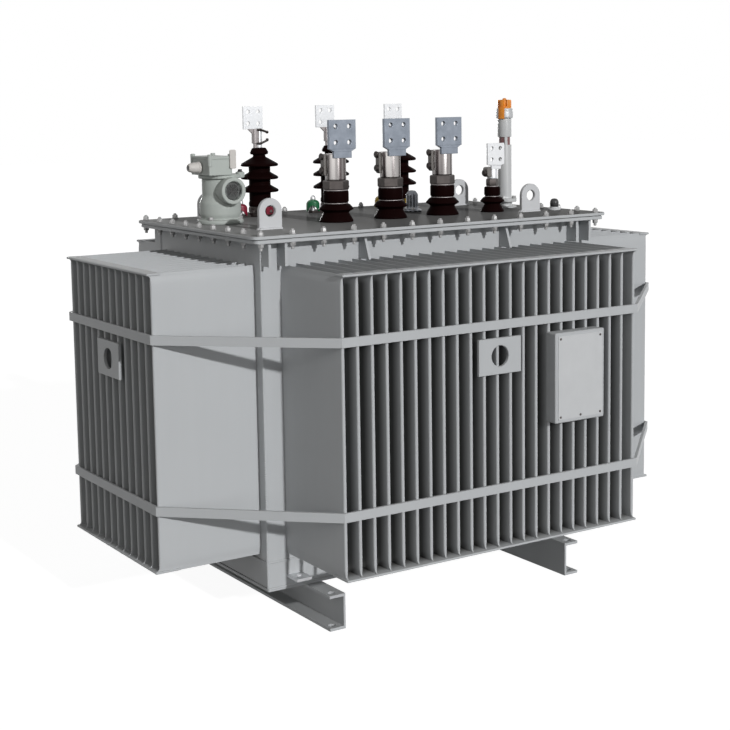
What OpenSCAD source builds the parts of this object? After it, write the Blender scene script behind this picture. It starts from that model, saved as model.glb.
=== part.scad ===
// Sealed oil-filled power transformer with a finned tank, on two channel skids.
// Millimetres. The origin is on the floor at the middle of the skid bolt holes,
// +X runs along the front to the right, +Y to the back and +Z up.

/* [Skids] */
// Height of the channel skids
skid_height = 100; // [80:5:140]
// Width of the channel flanges
skid_flange = 50; // [40:1:65]
// Thickness of the channel web
skid_web = 6; // [5:0.5:9]
// Thickness of the channel flanges
skid_flange_thickness = 8; // [6:0.5:11]
// Length of the skids from front to back
skid_length = 870; // [760:5:1000]
// Distance of the skids' backs from the tank's ends
skid_inset = 170; // [110:5:260]
// Distance of the bolt holes from the flange's free edge
skid_hole_edge = 20; // [18:1:22]
// Distance of the bolt holes from the ends of a skid
skid_hole_end = 23; // [18:1:100]
// Diameter of the skid bolt holes
skid_hole = 22; // [14:1:26]

/* [Tank] */
// Length of the tank body
tank_length = 1120; // [1100:5:1180]
// Depth of the tank body from front to back
tank_depth = 620; // [610:5:660]
// Thickness of the tank wall sheet
wall_thickness = 6; // [3:1:10]
// Thickness of the tank floor plate
floor_thickness = 8; // [5:1:15]
// Height of the plain skirt below the fins
skirt_height = 92; // [60:2:140]
// Height of the plain collar between the fins and the rim
collar_height = 64; // [45:1:90]

/* [Fins] */
// Height of the cooling fins
fin_height = 800; // [640:10:960]
// How far the fins stand out from the tank wall
fin_depth = 305; // [200:5:360]
// Thickness of a folded fin
fin_thickness = 10; // [8:1:14]
// Distance from fin to fin
fin_pitch = 45; // [40:0.5:47]
// Number of fins on the front and on the back
long_side_fins = 23; // [15:1:23]
// Number of fins on each end
short_side_fins = 13; // [9:1:13]
// How far the edge strip stands out past the fin tips
lip_reach = 11; // [5:1:20]
// Height of the edge strip along the fin tips
lip_edge = 8; // [5:1:14]
// Height of the curve from a fin tip out to the edge strip
lip_rise = 20; // [10:1:40]
// Width of the edge strip behind the fin tips
lip_inset = 9; // [5:1:30]

/* [Bands] */
// Height of a tie band
band_height = 25; // [15:1:40]
// Thickness of a tie band
band_thickness = 8; // [4:1:12]
// Height of the upper band's lower edge above the fin feet
upper_band_level = 614; // [580:2:620]
// Height of the lower band's lower edge above the fin feet
lower_band_level = 159; // [100:2:300]

/* [Lashing plates] */
// Width of a lashing plate
lashing_width = 144; // [100:2:200]
// Height of a lashing plate
lashing_height = 100; // [80:2:130]
// Thickness of a lashing plate
lashing_thickness = 10; // [6:1:16]
// Diameter of the lashing hole
lashing_hole = 58; // [30:1:62]
// Gap between a lashing plate and the upper band
lashing_gap = 23; // [5:1:40]

/* [Name plate] */
// Width of the name plate bracket
bracket_width = 178; // [120:2:200]
// Height of the name plate bracket
bracket_height = 254; // [160:2:300]
// Depth of the name plate bracket in front of the fin tips
bracket_depth = 40; // [20:1:60]
// Thickness of the bracket sheet
bracket_sheet = 3; // [2:0.5:5]
// Distance of the bracket's middle from the middle of the front
bracket_offset = 258; // [220:2:300]
// Height of the bracket's lower edge above the fin feet
bracket_level = 335; // [200:5:340]
// Margin around the rating plate
plate_margin = 9; // [4:1:20]
// Thickness of the rating plate
plate_thickness = 2; // [1:0.5:4]

/* [Earth tabs] */
// Width of an earth tab
tab_width = 46; // [36:1:60]
// How far an earth tab stands out from the skirt
tab_reach = 56; // [40:1:60]
// Thickness of an earth tab
tab_thickness = 8; // [5:1:12]
// Diameter of the earth tab's hole
tab_hole = 18; // [10:1:24]
// Height of an earth tab above the tank floor
tab_level = 24; // [10:1:40]
// Distance of an earth tab's middle from the tank's end
tab_end_distance = 83; // [60:1:120]

/* [Cover and rim] */
// Overhang of the cover past the tank's ends
cover_overhang_ends = 51; // [40:1:90]
// Overhang of the cover past the tank's front and back
cover_overhang_front = 60; // [54:1:90]
// Corner radius of the cover
cover_corner = 22; // [8:1:34]
// Thickness of the cover plate
cover_thickness = 9; // [6:1:20]
// Thickness of the rim flange
rim_thickness = 10; // [6:1:20]
// Thickness of the cover gasket
gasket_thickness = 2; // [2:1:12]
// Distance of the rim's ends inside the cover's ends
rim_setback_ends = 8; // [0:1:12]
// Distance of the rim's long edges inside the cover's long edges
rim_setback_front = 4; // [0:1:6]
// Distance of the gasket's edge inside the rim's edge
gasket_inset = 3; // [2:1:12]
// Thickness of a rim gusset
gusset_thickness = 8; // [5:1:14]
// Distance of a rim gusset's foot inside the rim's edge
gusset_foot_setback = 4; // [2:1:30]
// Distance of a rim gusset's head inside the rim's edge
gusset_head_setback = 28; // [6:1:40]
// Distance of the corner gussets inside the rim's edge
gusset_corner_setback = 12; // [6:1:36]
// Distance of the middle gussets from the middle of the tank
gusset_offset = 246; // [120:2:300]
// Distance between the two gussets at a corner
gusset_corner_gap = 50; // [25:1:52]

/* [Lifting lugs] */
// Width of a lifting lug
lug_width = 72; // [60:1:90]
// Height of a lifting lug
lug_height = 86; // [70:1:130]
// Thickness of a lifting lug
lug_thickness = 13; // [8:1:20]
// Diameter of the lifting hole
lug_hole = 32; // [20:1:40]
// Distance of the lugs from the cover's ends
lug_end_distance = 151; // [140:1:160]
// Distance of the lugs from the cover's front and back edges
lug_side_distance = 185; // [180:1:192]

/* [High-voltage bushings] */
// Distance from one high-voltage bushing to the next
hv_pitch = 257; // [200:1:280]
// Distance of the high-voltage row from the cover's back edge
hv_edge_distance = 132; // [110:1:160]
// Diameter of the clamp ring at a bushing's foot
hv_clamp_diameter = 84; // [80:1:90]
// Height of the clamp ring
hv_clamp_height = 32; // [22:1:45]
// Width of the clamp ring's ear
hv_ear_width = 24; // [18:1:36]
// Height of the clamp ring's ear
hv_ear_height = 8; // [6:1:12]
// Diameter of the porcelain between its sheds
hv_body_diameter = 66; // [50:1:76]
// Diameter of the sheds
hv_shed_diameter = 115; // [90:1:130]
// Height of the lowest shed's rim above the clamp ring
hv_first_shed = 46; // [30:1:60]
// Distance from one shed to the next
hv_shed_pitch = 40; // [34:1:50]
// Height of a shed's slope above its rim
hv_shed_rise = 22; // [12:1:26]
// Thickness of a shed's rim
hv_shed_rim = 6; // [3:1:8]
// Number of sheds
hv_sheds = 3; // [2:1:4]
// Diameter of the porcelain cap on top
hv_cap_diameter = 52; // [40:1:60]
// Height of the porcelain cap
hv_cap_height = 24; // [15:1:35]
// Diameter of the metal stem
hv_stem_diameter = 20; // [12:1:30]
// Height of the stem between the cap and the terminal flag
hv_stem_height = 57; // [48:1:80]
// Width of the terminal flag
hv_flag_width = 66; // [56:1:80]
// Height of the terminal flag
hv_flag_height = 69; // [60:1:90]
// Thickness of the terminal flag
hv_flag_thickness = 8; // [4:1:14]
// Distance between the flag's holes across
hv_hole_across = 34; // [28:1:36]
// Distance between the flag's holes up and down
hv_hole_up = 36; // [28:1:40]
// Diameter of the flag's holes
hv_flag_hole = 13; // [8:1:15]
// How far the flag reaches past the stem's axis
hv_flag_lead = 13; // [8:1:20]
// Height of the clamp on the stem
hv_grip_height = 36; // [24:1:40]
// Distance of the stem's clamp below the flag
hv_grip_drop = 10; // [2:1:12]
// Thickness of the stem clamp's wall
hv_grip_wall = 4; // [2:1:8]
// How far the stem's clamp reaches out from the stem's axis
hv_grip_reach = 30; // [20:1:40]

/* [Low-voltage bushings] */
// Distance from one low-voltage bushing to the next
lv_pitch = 190; // [160:2:200]
// Distance of the low-voltage row in front of the cover's middle
lv_row = 98; // [80:2:130]
// Diameter of the porcelain foot
lv_foot_diameter = 102; // [90:1:120]
// Height of the two porcelain skirts together
lv_skirt_height = 54; // [50:1:70]
// Height of the waist between the two skirts
lv_waist_level = 30; // [20:1:32]
// Thickness of a skirt's rim
lv_skirt_rim = 6; // [4:1:8]
// Diameter of the upper porcelain drum
lv_drum_diameter = 77; // [60:1:84]
// Height of the upper porcelain drum
lv_drum_height = 37; // [25:1:50]
// Width over the flats of the clamp nut
lv_nut_width = 66; // [50:1:72]
// Height of the clamp nut
lv_nut_height = 30; // [20:1:40]
// Diameter of the terminal's clamp barrel
lv_barrel_diameter = 61; // [45:1:64]
// Height of the clamp barrel
lv_barrel_height = 77; // [50:1:90]
// How far the clamp's ear reaches out from the barrel's axis
lv_ear_reach = 44; // [38:1:60]
// Thickness of the clamp's ear
lv_ear_thickness = 20; // [12:1:28]
// Distance of the clamp's ear from the barrel's ends
lv_ear_margin = 5; // [2:1:12]
// Width of the terminal flag
lv_flag_width = 90; // [80:1:110]
// Height of the terminal flag
lv_flag_height = 84; // [76:1:120]
// Thickness of the terminal flag
lv_flag_thickness = 12; // [8:1:20]
// Width of the neck between barrel and flag
lv_neck_width = 60; // [40:1:76]
// Height of the neck between barrel and flag
lv_neck_height = 13; // [6:1:40]
// How far the flag stands to the right of the barrel's axis
lv_flag_shift = 7; // [0:1:14]
// Distance between the flag's holes across
lv_hole_across = 46; // [36:1:54]
// Distance between the flag's holes up and down
lv_hole_up = 46; // [36:1:54]
// Diameter of the flag's holes
lv_flag_hole = 15; // [10:1:18]

/* [Neutral bushing] */
// Distance of the neutral bushing from the right low-voltage bushing
neutral_spacing = 180; // [170:1:186]
// Distance of the neutral bushing in front of the cover's middle
neutral_row = 112; // [100:2:130]
// Diameter of the porcelain foot
neutral_foot_diameter = 76; // [64:1:90]
// Height of the two porcelain skirts together
neutral_skirt_height = 48; // [44:1:60]
// Height of the waist between the two skirts
neutral_waist_level = 27; // [18:1:28]
// Thickness of a skirt's rim
neutral_skirt_rim = 5; // [3:1:7]
// Diameter of the upper porcelain drum
neutral_drum_diameter = 50; // [40:1:60]
// Height of the upper porcelain drum
neutral_drum_height = 30; // [20:1:40]
// Width over the flats of the clamp nut
neutral_nut_width = 36; // [28:1:39]
// Height of the clamp nut
neutral_nut_height = 24; // [14:1:32]
// Diameter of the terminal's clamp barrel
neutral_barrel_diameter = 32; // [24:1:35]
// Height of the clamp barrel
neutral_barrel_height = 38; // [26:1:50]
// How far the clamp's ear reaches out from the barrel's axis
neutral_ear_reach = 23; // [20:1:34]
// Thickness of the clamp's ear
neutral_ear_thickness = 11; // [8:1:16]
// Distance of the clamp's ear from the barrel's ends
neutral_ear_margin = 3; // [2:1:8]
// Width of the terminal flag
neutral_flag_width = 64; // [54:1:80]
// Height of the terminal flag
neutral_flag_height = 66; // [54:1:80]
// Thickness of the terminal flag
neutral_flag_thickness = 8; // [5:1:14]
// Width of the neck between barrel and flag
neutral_neck_width = 36; // [24:1:50]
// Height of the neck between barrel and flag
neutral_neck_height = 6; // [4:1:14]
// How far the flag stands to the right of the barrel's axis
neutral_flag_shift = 4; // [0:1:14]
// Distance between the flag's holes across
neutral_hole_across = 32; // [26:1:36]
// Distance between the flag's holes up and down
neutral_hole_up = 34; // [26:1:38]
// Diameter of the flag's holes
neutral_flag_hole = 12; // [8:1:14]

/* [Phase markers] */
// Distance of a marker stud beside its bushing
marker_offset = 69; // [66:1:80]
// Diameter of a marker stud
marker_stud_diameter = 12; // [8:1:16]
// Diameter of a marker cap
marker_cap_diameter = 42; // [30:1:48]
// Height of a marker cap
marker_cap_height = 30; // [16:1:40]
// Width of the marker cap's bevel
marker_cap_bevel = 10; // [3:1:12]
// Height of the stud's nut below the cap
marker_nut_height = 4; // [2:1:10]

/* [Level tube] */
// Distance of the level tube from the cover's right end
level_end_distance = 104; // [96:1:112]
// Diameter of the level tube
level_diameter = 44; // [34:1:52]
// Height of the level tube from its flange to its collar
level_height = 256; // [180:2:320]
// Diameter of the foot flange
level_flange_diameter = 76; // [66:1:90]
// Thickness of the foot flange
level_flange_thickness = 10; // [6:1:16]
// Height of the stub below the foot flange
level_stub_height = 19; // [12:1:30]
// Thickness of the pad under the stub
level_pad_thickness = 5; // [3:1:8]
// Diameter of the collar
level_collar_diameter = 54; // [53:1:60]
// Height of the collar
level_collar_height = 32; // [20:1:45]
// Diameter of the cap
level_cap_diameter = 44; // [30:1:50]
// Height of the cap
level_cap_height = 35; // [20:1:45]
// Number of grip notches around the cap
level_notches = 8; // [5:1:10]
// Radius of a grip notch
level_notch_radius = 4.4; // [2:0.2:5]
// Distance of a notch's middle outside the cap's edge
level_notch_offset = 1.8; // [0:0.2:2]
// Height of the plain band under the notches
level_cap_band = 12; // [6:1:16]

/* [Protection relay] */
// Distance of the relay from the cover's left end
relay_end_distance = 138; // [132:1:144]
// Distance of the relay behind the cover's middle
relay_row = 85; // [80:1:90]
// Diameter of the relay's foot flange
relay_flange_diameter = 132; // [130:1:138]
// Thickness of the relay's foot flange
relay_flange_thickness = 13; // [8:1:18]
// Diameter of the relay's round pot
relay_pot_diameter = 130; // [120:1:134]
// Height of the relay's pot above the foot flange
relay_pot_height = 63; // [50:1:72]
// Diameter of the relay's neck
relay_neck_diameter = 112; // [104:1:116]
// Height of the relay's neck above the pot
relay_neck_height = 56; // [50:1:80]
// Thickness of the head plate under the terminal box
relay_head_thickness = 11; // [6:1:16]
// Diameter of the round head plate under the terminal box
relay_head_diameter = 124; // [118:1:130]
// Height of the window's axis above the cover
relay_window_level = 98; // [92:1:102]
// Diameter of the window ring
relay_ring_diameter = 77; // [66:1:78]
// How far the window ring stands out from the relay's axis
relay_ring_reach = 88; // [70:1:100]
// Diameter of the window glass
relay_glass_diameter = 55; // [40:1:60]
// Depth of the window glass behind the ring's face
relay_glass_depth = 6; // [3:1:9]
// Thickness of the window glass
relay_glass_thickness = 4; // [2:0.5:6]
// Width of the relay's terminal box
relay_box_width = 77; // [66:1:90]
// Depth of the relay's terminal box
relay_box_depth = 110; // [84:1:116]
// Height of the relay's terminal box
relay_box_height = 54; // [44:1:70]
// Distance of the terminal box to the left of the relay's axis
relay_box_shift = 29; // [16:1:34]
// Distance of the terminal box in front of the relay's axis
relay_box_advance = 13; // [0:1:16]
// Diameter of the cable gland
gland_diameter = 27; // [18:1:32]
// Length of the cable gland
gland_length = 37; // [20:1:48]
// Height of the cable gland above the foot of the terminal box
gland_level = 22; // [18:1:28]

/* [Thermometer pocket and tap changer] */
// Distance of the thermometer pocket from the cover's right end
pocket_end_distance = 57; // [52:1:62]
// Distance of the thermometer pocket from the cover's front edge
pocket_side_distance = 180; // [172:1:188]
// Diameter of the thermometer pocket's foot
pocket_foot_diameter = 40; // [34:1:50]
// Height of the thermometer pocket's foot
pocket_foot_height = 10; // [8:1:20]
// Diameter of the thermometer pocket's cap
pocket_cap_diameter = 28; // [20:1:32]
// Height of the thermometer pocket's cap
pocket_cap_height = 26; // [16:1:36]
// Width of the bevel on the pocket's cap
pocket_bevel = 4; // [1:1:8]
// Place of the tap changer along the front
tap_x = 188; // [170:2:210]
// Place of the tap changer from front to back
tap_y = 62; // [50:2:90]
// Diameter of the tap changer's foot
tap_foot_diameter = 66; // [56:1:76]
// Thickness of the tap changer's foot
tap_foot_height = 9; // [6:1:14]
// Diameter of the tap changer's hood
tap_hood_diameter = 38; // [28:1:46]
// Height of the tap changer's hood
tap_hood_height = 58; // [40:1:80]
// Width of the bevel on the tap changer's hood
tap_bevel = 8; // [2:1:12]

/* [Hidden] */
$fn = 64;

paint = [0.70, 0.71, 0.71];
galvanised = [0.78, 0.80, 0.82];
porcelain = [0.13, 0.05, 0.04];

// Levels from the floor up
floor_top = skid_height + floor_thickness;
fin_foot = floor_top + skirt_height;
fin_top = fin_foot + fin_height;
wall_top = fin_top + collar_height;
wall_height = wall_top - floor_top;
rim_top = wall_top + rim_thickness;
gasket_top = rim_top + gasket_thickness;
cover_top = gasket_top + cover_thickness;
upper_band_foot = fin_foot + upper_band_level;
lower_band_foot = fin_foot + lower_band_level;
lashing_foot = upper_band_foot - lashing_gap - lashing_height;

// Faces of the tank and the fins
tank_x = tank_length / 2;
tank_y = tank_depth / 2;
tip_x = tank_x + fin_depth;
tip_y = tank_y + fin_depth;
long_span = (long_side_fins - 1) * fin_pitch + fin_thickness;
short_span = (short_side_fins - 1) * fin_pitch + fin_thickness;

// The cover's size and the places of its fittings
cover_length = tank_length + 2 * cover_overhang_ends;
cover_depth = tank_depth + 2 * cover_overhang_front;
rim_length = cover_length - 2 * rim_setback_ends;
rim_depth = cover_depth - 2 * rim_setback_front;
rim_corner = cover_corner - rim_setback_front;
rim_overhang = cover_overhang_front - rim_setback_front;
lug_x = cover_length / 2 - lug_end_distance;
lug_y = cover_depth / 2 - lug_side_distance;
hv_y = cover_depth / 2 - hv_edge_distance;
neutral_x = lv_pitch + neutral_spacing;
level_x = cover_length / 2 - level_end_distance;
relay_x = relay_end_distance - cover_length / 2;
pocket_x = cover_length / 2 - pocket_end_distance;
pocket_y = pocket_side_distance - cover_depth / 2;

// Heights on the bushings, above the cover
hv_top_shed = hv_first_shed + (hv_sheds - 1) * hv_shed_pitch;
hv_cap_foot = hv_top_shed + hv_shed_rim + hv_shed_rise;
hv_porcelain_height = hv_cap_foot + hv_cap_height;
hv_stem_foot = cover_top + hv_clamp_height + hv_porcelain_height;
hv_flag_foot = hv_stem_foot + hv_stem_height;
lv_porcelain_height = lv_skirt_height + lv_drum_height;
neutral_porcelain_height = neutral_skirt_height + neutral_drum_height;
level_flange_top = cover_top + level_stub_height + level_flange_thickness;
level_collar_foot = level_flange_top + level_height;
level_collar_top = level_collar_foot + level_collar_height;
relay_pot_top = relay_flange_thickness + relay_pot_height;
relay_head_foot = relay_pot_top + relay_neck_height;
relay_head_top = relay_head_foot + relay_head_thickness;
through = 1;
flag_lap = 3;
curve_steps = 8;

// A flat plate with rounded corners, standing on z = 0
module rounded_plate(length, depth, radius, thickness) {
  linear_extrude(thickness) {
    square([length - 2 * radius, depth], center = true);
    square([length, depth - 2 * radius], center = true);
    for (x = [-1, 1], y = [-1, 1])
      translate([x * (length / 2 - radius), y * (depth / 2 - radius)]) circle(radius);
  }
}

// A round piece drawn as the list of its [radius, height] points
module turned(points) {
  rotate_extrude() polygon(points);
}

// A channel running along Y, its web against x = 0 and its flanges towards -X
module channel() {
  hollow = skid_height - 2 * skid_flange_thickness;
  hole_x = skid_hole_edge - skid_flange;
  hole_y = skid_length / 2 - skid_hole_end;
  difference() {
    translate([-skid_flange, -skid_length / 2, 0]) cube([skid_flange, skid_length, skid_height]);
    translate([-skid_flange - through, -skid_length / 2 - through, skid_flange_thickness])
      cube([skid_flange + through - skid_web, skid_length + 2 * through, hollow]);
    for (y = [-1, 1])
      translate([hole_x, y * hole_y, -through])
        cylinder(d = skid_hole, h = skid_height + 2 * through);
  }
}

module skid_left() {
  color(paint) translate([skid_inset - tank_x, 0, 0]) channel();
}

module skid_right() {
  color(paint) translate([tank_x - skid_inset, 0, 0]) mirror([1, 0, 0]) channel();
}

module tank_floor() {
  color(paint) translate([-tank_x, -tank_y, skid_height])
    cube([tank_length, tank_depth, floor_thickness]);
}

// A wall along the front or the back, its outer face on y = 0 and the tank towards +Y
module long_wall() {
  translate([-tank_x, 0, floor_top]) cube([tank_length, wall_thickness, wall_height]);
}

// An end wall between the long walls, its outer face on x = 0 and the tank towards +X
module short_wall() {
  depth = tank_depth - 2 * wall_thickness;
  translate([0, -depth / 2, floor_top]) cube([wall_thickness, depth, wall_height]);
}

module front_wall() {
  color(paint) translate([0, -tank_y, 0]) long_wall();
}

module back_wall() {
  color(paint) translate([0, tank_y, 0]) mirror([0, 1, 0]) long_wall();
}

module left_wall() {
  color(paint) translate([-tank_x, 0, 0]) short_wall();
}

module right_wall() {
  color(paint) translate([tank_x, 0, 0]) mirror([1, 0, 0]) short_wall();
}

// Half of a fin's outline from its foot to mid-height, as [distance out, height] points
function lip_curve() = [
  for (i = [0 : curve_steps])
    let (turn = 90 * i / curve_steps)
    [fin_depth + lip_reach * (1 - sin(turn)), lip_edge + lip_rise * (1 - cos(turn))]
];

function upside_down(points) = [
  for (i = [len(points) - 1 : -1 : 0]) [points[i][0], fin_height - points[i][1]]
];

// One fin standing out towards -Y from y = 0, middle on x = 0, foot on z = 0
module fin() {
  outline = concat([[0, 0], [fin_depth + lip_reach, 0]], lip_curve(),
                   upside_down(lip_curve()), [[fin_depth + lip_reach, fin_height], [0, fin_height]]);
  translate([fin_thickness / 2, 0, 0])
    rotate([90, 0, -90]) linear_extrude(fin_thickness) polygon(outline);
}

// A bank of fins with an edge strip along the tips at its head and foot
module fin_bank(count) {
  span = (count - 1) * fin_pitch + fin_thickness;
  for (i = [0 : count - 1]) translate([(i - (count - 1) / 2) * fin_pitch, 0, 0]) fin();
  for (z = [0, fin_height - lip_edge])
    translate([-span / 2, -fin_depth - lip_reach, z]) cube([span, lip_reach + lip_inset, lip_edge]);
}

module front_fins() {
  color(paint) translate([0, -tank_y, fin_foot]) fin_bank(long_side_fins);
}

module back_fins() {
  color(paint) translate([0, tank_y, fin_foot]) rotate(180) fin_bank(long_side_fins);
}

module left_fins() {
  color(paint) translate([-tank_x, 0, fin_foot]) rotate(-90) fin_bank(short_side_fins);
}

module right_fins() {
  color(paint) translate([tank_x, 0, fin_foot]) rotate(90) fin_bank(short_side_fins);
}

module rim_flange() {
  color(paint) translate([0, 0, wall_top]) difference() {
    rounded_plate(rim_length, rim_depth, rim_corner, rim_thickness);
    translate([0, 0, -through])
      linear_extrude(rim_thickness + 2 * through)
        square([tank_length - 2 * wall_thickness, tank_depth - 2 * wall_thickness], center = true);
  }
}

// An upright plate under the rim, standing out towards -Y from y = 0
module gusset(foot, head) {
  outline = [[0, 0], [foot, 0], [head, collar_height], [0, collar_height]];
  translate([gusset_thickness / 2, 0, 0])
    rotate([90, 0, -90]) linear_extrude(gusset_thickness) polygon(outline);
}

module rim_gussets() {
  corner_x = tank_x - gusset_thickness / 2;
  corner_reach = rim_overhang - gusset_corner_setback;
  color(paint) translate([0, 0, fin_top])
    for (turn = [0, 180], side = [-1, 1]) rotate(turn) {
      translate([side * gusset_offset, -tank_y, 0])
        gusset(rim_overhang - gusset_foot_setback, rim_overhang - gusset_head_setback);
      for (x = [corner_x, corner_x - gusset_corner_gap])
        translate([side * x, -tank_y, 0]) gusset(corner_reach, corner_reach);
    }
}

module cover_gasket() {
  color([0.12, 0.12, 0.12]) translate([0, 0, rim_top]) difference() {
    rounded_plate(rim_length - 2 * gasket_inset, rim_depth - 2 * gasket_inset,
                  rim_corner - gasket_inset, gasket_thickness);
    translate([0, 0, -through])
      linear_extrude(gasket_thickness + 2 * through)
        square([tank_length - 2 * wall_thickness, tank_depth - 2 * wall_thickness], center = true);
  }
}

module tank_cover() {
  color(paint) translate([0, 0, gasket_top])
    rounded_plate(cover_length, cover_depth, cover_corner, cover_thickness);
}

// Corner p moved outwards by the thickness t between edges with normals a and b
function moved_out(p, a, b, t) = p + t * (a + b) / (1 + a * b);

// An eight-sided ring around the fin tips, cut off straight across the tank's corners
module tie_band() {
  front_end = [long_span / 2, tip_y];
  side_end = [tip_x, short_span / 2];
  run = side_end - front_end;
  slant = [-run[1], run[0]] / norm(run);
  front_out = moved_out(front_end, [0, 1], slant, band_thickness);
  side_out = moved_out(side_end, [1, 0], slant, band_thickness);
  linear_extrude(band_height) difference() {
    polygon(octagon(front_out, side_out));
    polygon(octagon(front_end, side_end));
  }
}

function octagon(a, b) = [
  [a[0], a[1]], [b[0], b[1]], [b[0], -b[1]], [a[0], -a[1]],
  [-a[0], -a[1]], [-b[0], -b[1]], [-b[0], b[1]], [-a[0], a[1]]
];

module upper_band() {
  color(paint) translate([0, 0, upper_band_foot]) tie_band();
}

module lower_band() {
  color(paint) translate([0, 0, lower_band_foot]) tie_band();
}

// A plate with a lashing hole, its back on y = 0 and its face towards -Y
module lashing_plate() {
  difference() {
    translate([-lashing_width / 2, -lashing_thickness, 0])
      cube([lashing_width, lashing_thickness, lashing_height]);
    translate([0, through, lashing_height / 2]) rotate([90, 0, 0])
      cylinder(d = lashing_hole, h = lashing_thickness + 2 * through);
  }
}

module lashing_plates() {
  color(paint) translate([0, 0, lashing_foot]) {
    for (turn = [0, 180]) rotate(turn) translate([0, -tip_y, 0]) lashing_plate();
    for (turn = [-90, 90]) rotate(turn) translate([0, -tip_x, 0]) lashing_plate();
  }
}

module name_plate_bracket() {
  inner_width = bracket_width - 2 * bracket_sheet;
  inner_height = bracket_height - 2 * bracket_sheet;
  color(paint) translate([bracket_offset, -tip_y - bracket_depth, fin_foot + bracket_level])
    difference() {
      translate([-bracket_width / 2, 0, 0]) cube([bracket_width, bracket_depth, bracket_height]);
      translate([-inner_width / 2, bracket_sheet, bracket_sheet])
        cube([inner_width, bracket_depth, inner_height]);
    }
}

module rating_plate() {
  width = bracket_width - 2 * plate_margin;
  height = bracket_height - 2 * plate_margin;
  color([0.75, 0.76, 0.76])
    translate([bracket_offset - width / 2, -tip_y - bracket_depth - plate_thickness,
               fin_foot + bracket_level + plate_margin])
      cube([width, plate_thickness, height]);
}

// A flat tab with a hole, standing out towards -Y from y = 0
module earth_tab() {
  difference() {
    translate([-tab_width / 2, -tab_reach, 0]) cube([tab_width, tab_reach, tab_thickness]);
    translate([0, -tab_reach / 2, -through]) cylinder(d = tab_hole, h = tab_thickness + 2 * through);
  }
}

module earth_tabs() {
  color(paint) translate([0, 0, floor_top + tab_level])
    for (turn = [0, 180]) rotate(turn) translate([tab_end_distance - tank_x, -tank_y, 0]) earth_tab();
}

// An upright plate with a round head and a lifting hole, standing along X
module lifting_lug() {
  head = lug_width / 2;
  translate([0, lug_thickness / 2, 0]) rotate([90, 0, 0]) linear_extrude(lug_thickness) difference() {
    union() {
      translate([-head, 0]) square([lug_width, lug_height - head]);
      translate([0, lug_height - head]) circle(head);
    }
    translate([0, lug_height - head]) circle(d = lug_hole);
  }
}

module lifting_lugs() {
  color(paint)
    for (x = [-1, 1], y = [-1, 1])
      translate([x * lug_x, y * lug_y, cover_top]) lifting_lug();
}

// A foot ring with an ear that carries the phase marker's stud
module hv_clamp() {
  stud_height = hv_ear_height + marker_nut_height;
  cylinder(d = hv_clamp_diameter, h = hv_clamp_height);
  translate([-marker_offset, -hv_ear_width / 2, 0]) cube([marker_offset, hv_ear_width, hv_ear_height]);
  translate([-marker_offset, 0, 0]) cylinder(d = hv_ear_width, h = hv_ear_height);
  translate([-marker_offset, 0, 0]) cylinder(d = marker_stud_diameter, h = stud_height);
}

module hv_clamps() {
  color(galvanised)
    for (i = [-1 : 1]) translate([i * hv_pitch, hv_y, cover_top]) hv_clamp();
}

// The rim, slope and underside of one shed, as [radius, height] points from below
function shed_points(z) = [
  [hv_body_diameter / 2, z + hv_shed_rim / 2],
  [hv_shed_diameter / 2, z],
  [hv_shed_diameter / 2, z + hv_shed_rim],
  [hv_body_diameter / 2, z + hv_shed_rim + hv_shed_rise]
];

// A shedded porcelain with a cap, standing on z = 0
module hv_porcelain() {
  neck = hv_cap_diameter / 2 - hv_shed_rim / 2;
  sheds = [for (i = [0 : hv_sheds - 1]) each shed_points(hv_first_shed + i * hv_shed_pitch)];
  lower = [for (i = [0 : len(sheds) - 2]) sheds[i]];
  turned(concat([[0, 0], [hv_body_diameter / 2, 0]], lower,
                [[neck, hv_cap_foot], [hv_cap_diameter / 2, hv_cap_foot + hv_shed_rim / 2],
                 [hv_cap_diameter / 2, hv_porcelain_height - hv_shed_rim],
                 [neck, hv_porcelain_height], [0, hv_porcelain_height]]));
}

module hv_bushing(place) {
  color(porcelain) translate([place * hv_pitch, hv_y, cover_top + hv_clamp_height]) hv_porcelain();
}

module hv_bushing_left() { hv_bushing(-1); }
module hv_bushing_middle() { hv_bushing(0); }
module hv_bushing_right() { hv_bushing(1); }

// An upright plate with four holes, its foot on z = 0 and its middle on x = 0
module terminal_flag(width, height, thickness, across, up, hole) {
  difference() {
    translate([-width / 2, -thickness / 2, 0]) cube([width, thickness, height]);
    for (x = [-1, 1], z = [-1, 1])
      translate([x * across / 2, thickness / 2 + through, height / 2 + z * up / 2]) rotate([90, 0, 0])
        cylinder(d = hole, h = thickness + 2 * through);
  }
}

// A stem with a side clamp and a flag that reaches off to the left
module hv_terminal(place) {
  grip_foot = hv_stem_height - hv_grip_height - hv_grip_drop;
  flag_middle = hv_flag_lead - hv_flag_width / 2;
  color(galvanised) translate([place * hv_pitch, hv_y, hv_stem_foot]) {
    cylinder(d = hv_stem_diameter, h = hv_stem_height);
    translate([0, 0, grip_foot]) cylinder(d = hv_stem_diameter + 2 * hv_grip_wall, h = hv_grip_height);
    translate([0, -hv_stem_diameter / 2, grip_foot])
      cube([hv_grip_reach, hv_stem_diameter, hv_grip_height]);
    translate([flag_middle, 0, hv_stem_height])
      terminal_flag(hv_flag_width, hv_flag_height, hv_flag_thickness,
                    hv_hole_across, hv_hole_up, hv_flag_hole);
  }
}

module hv_terminal_left() { hv_terminal(-1); }
module hv_terminal_middle() { hv_terminal(0); }
module hv_terminal_right() { hv_terminal(1); }

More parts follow.
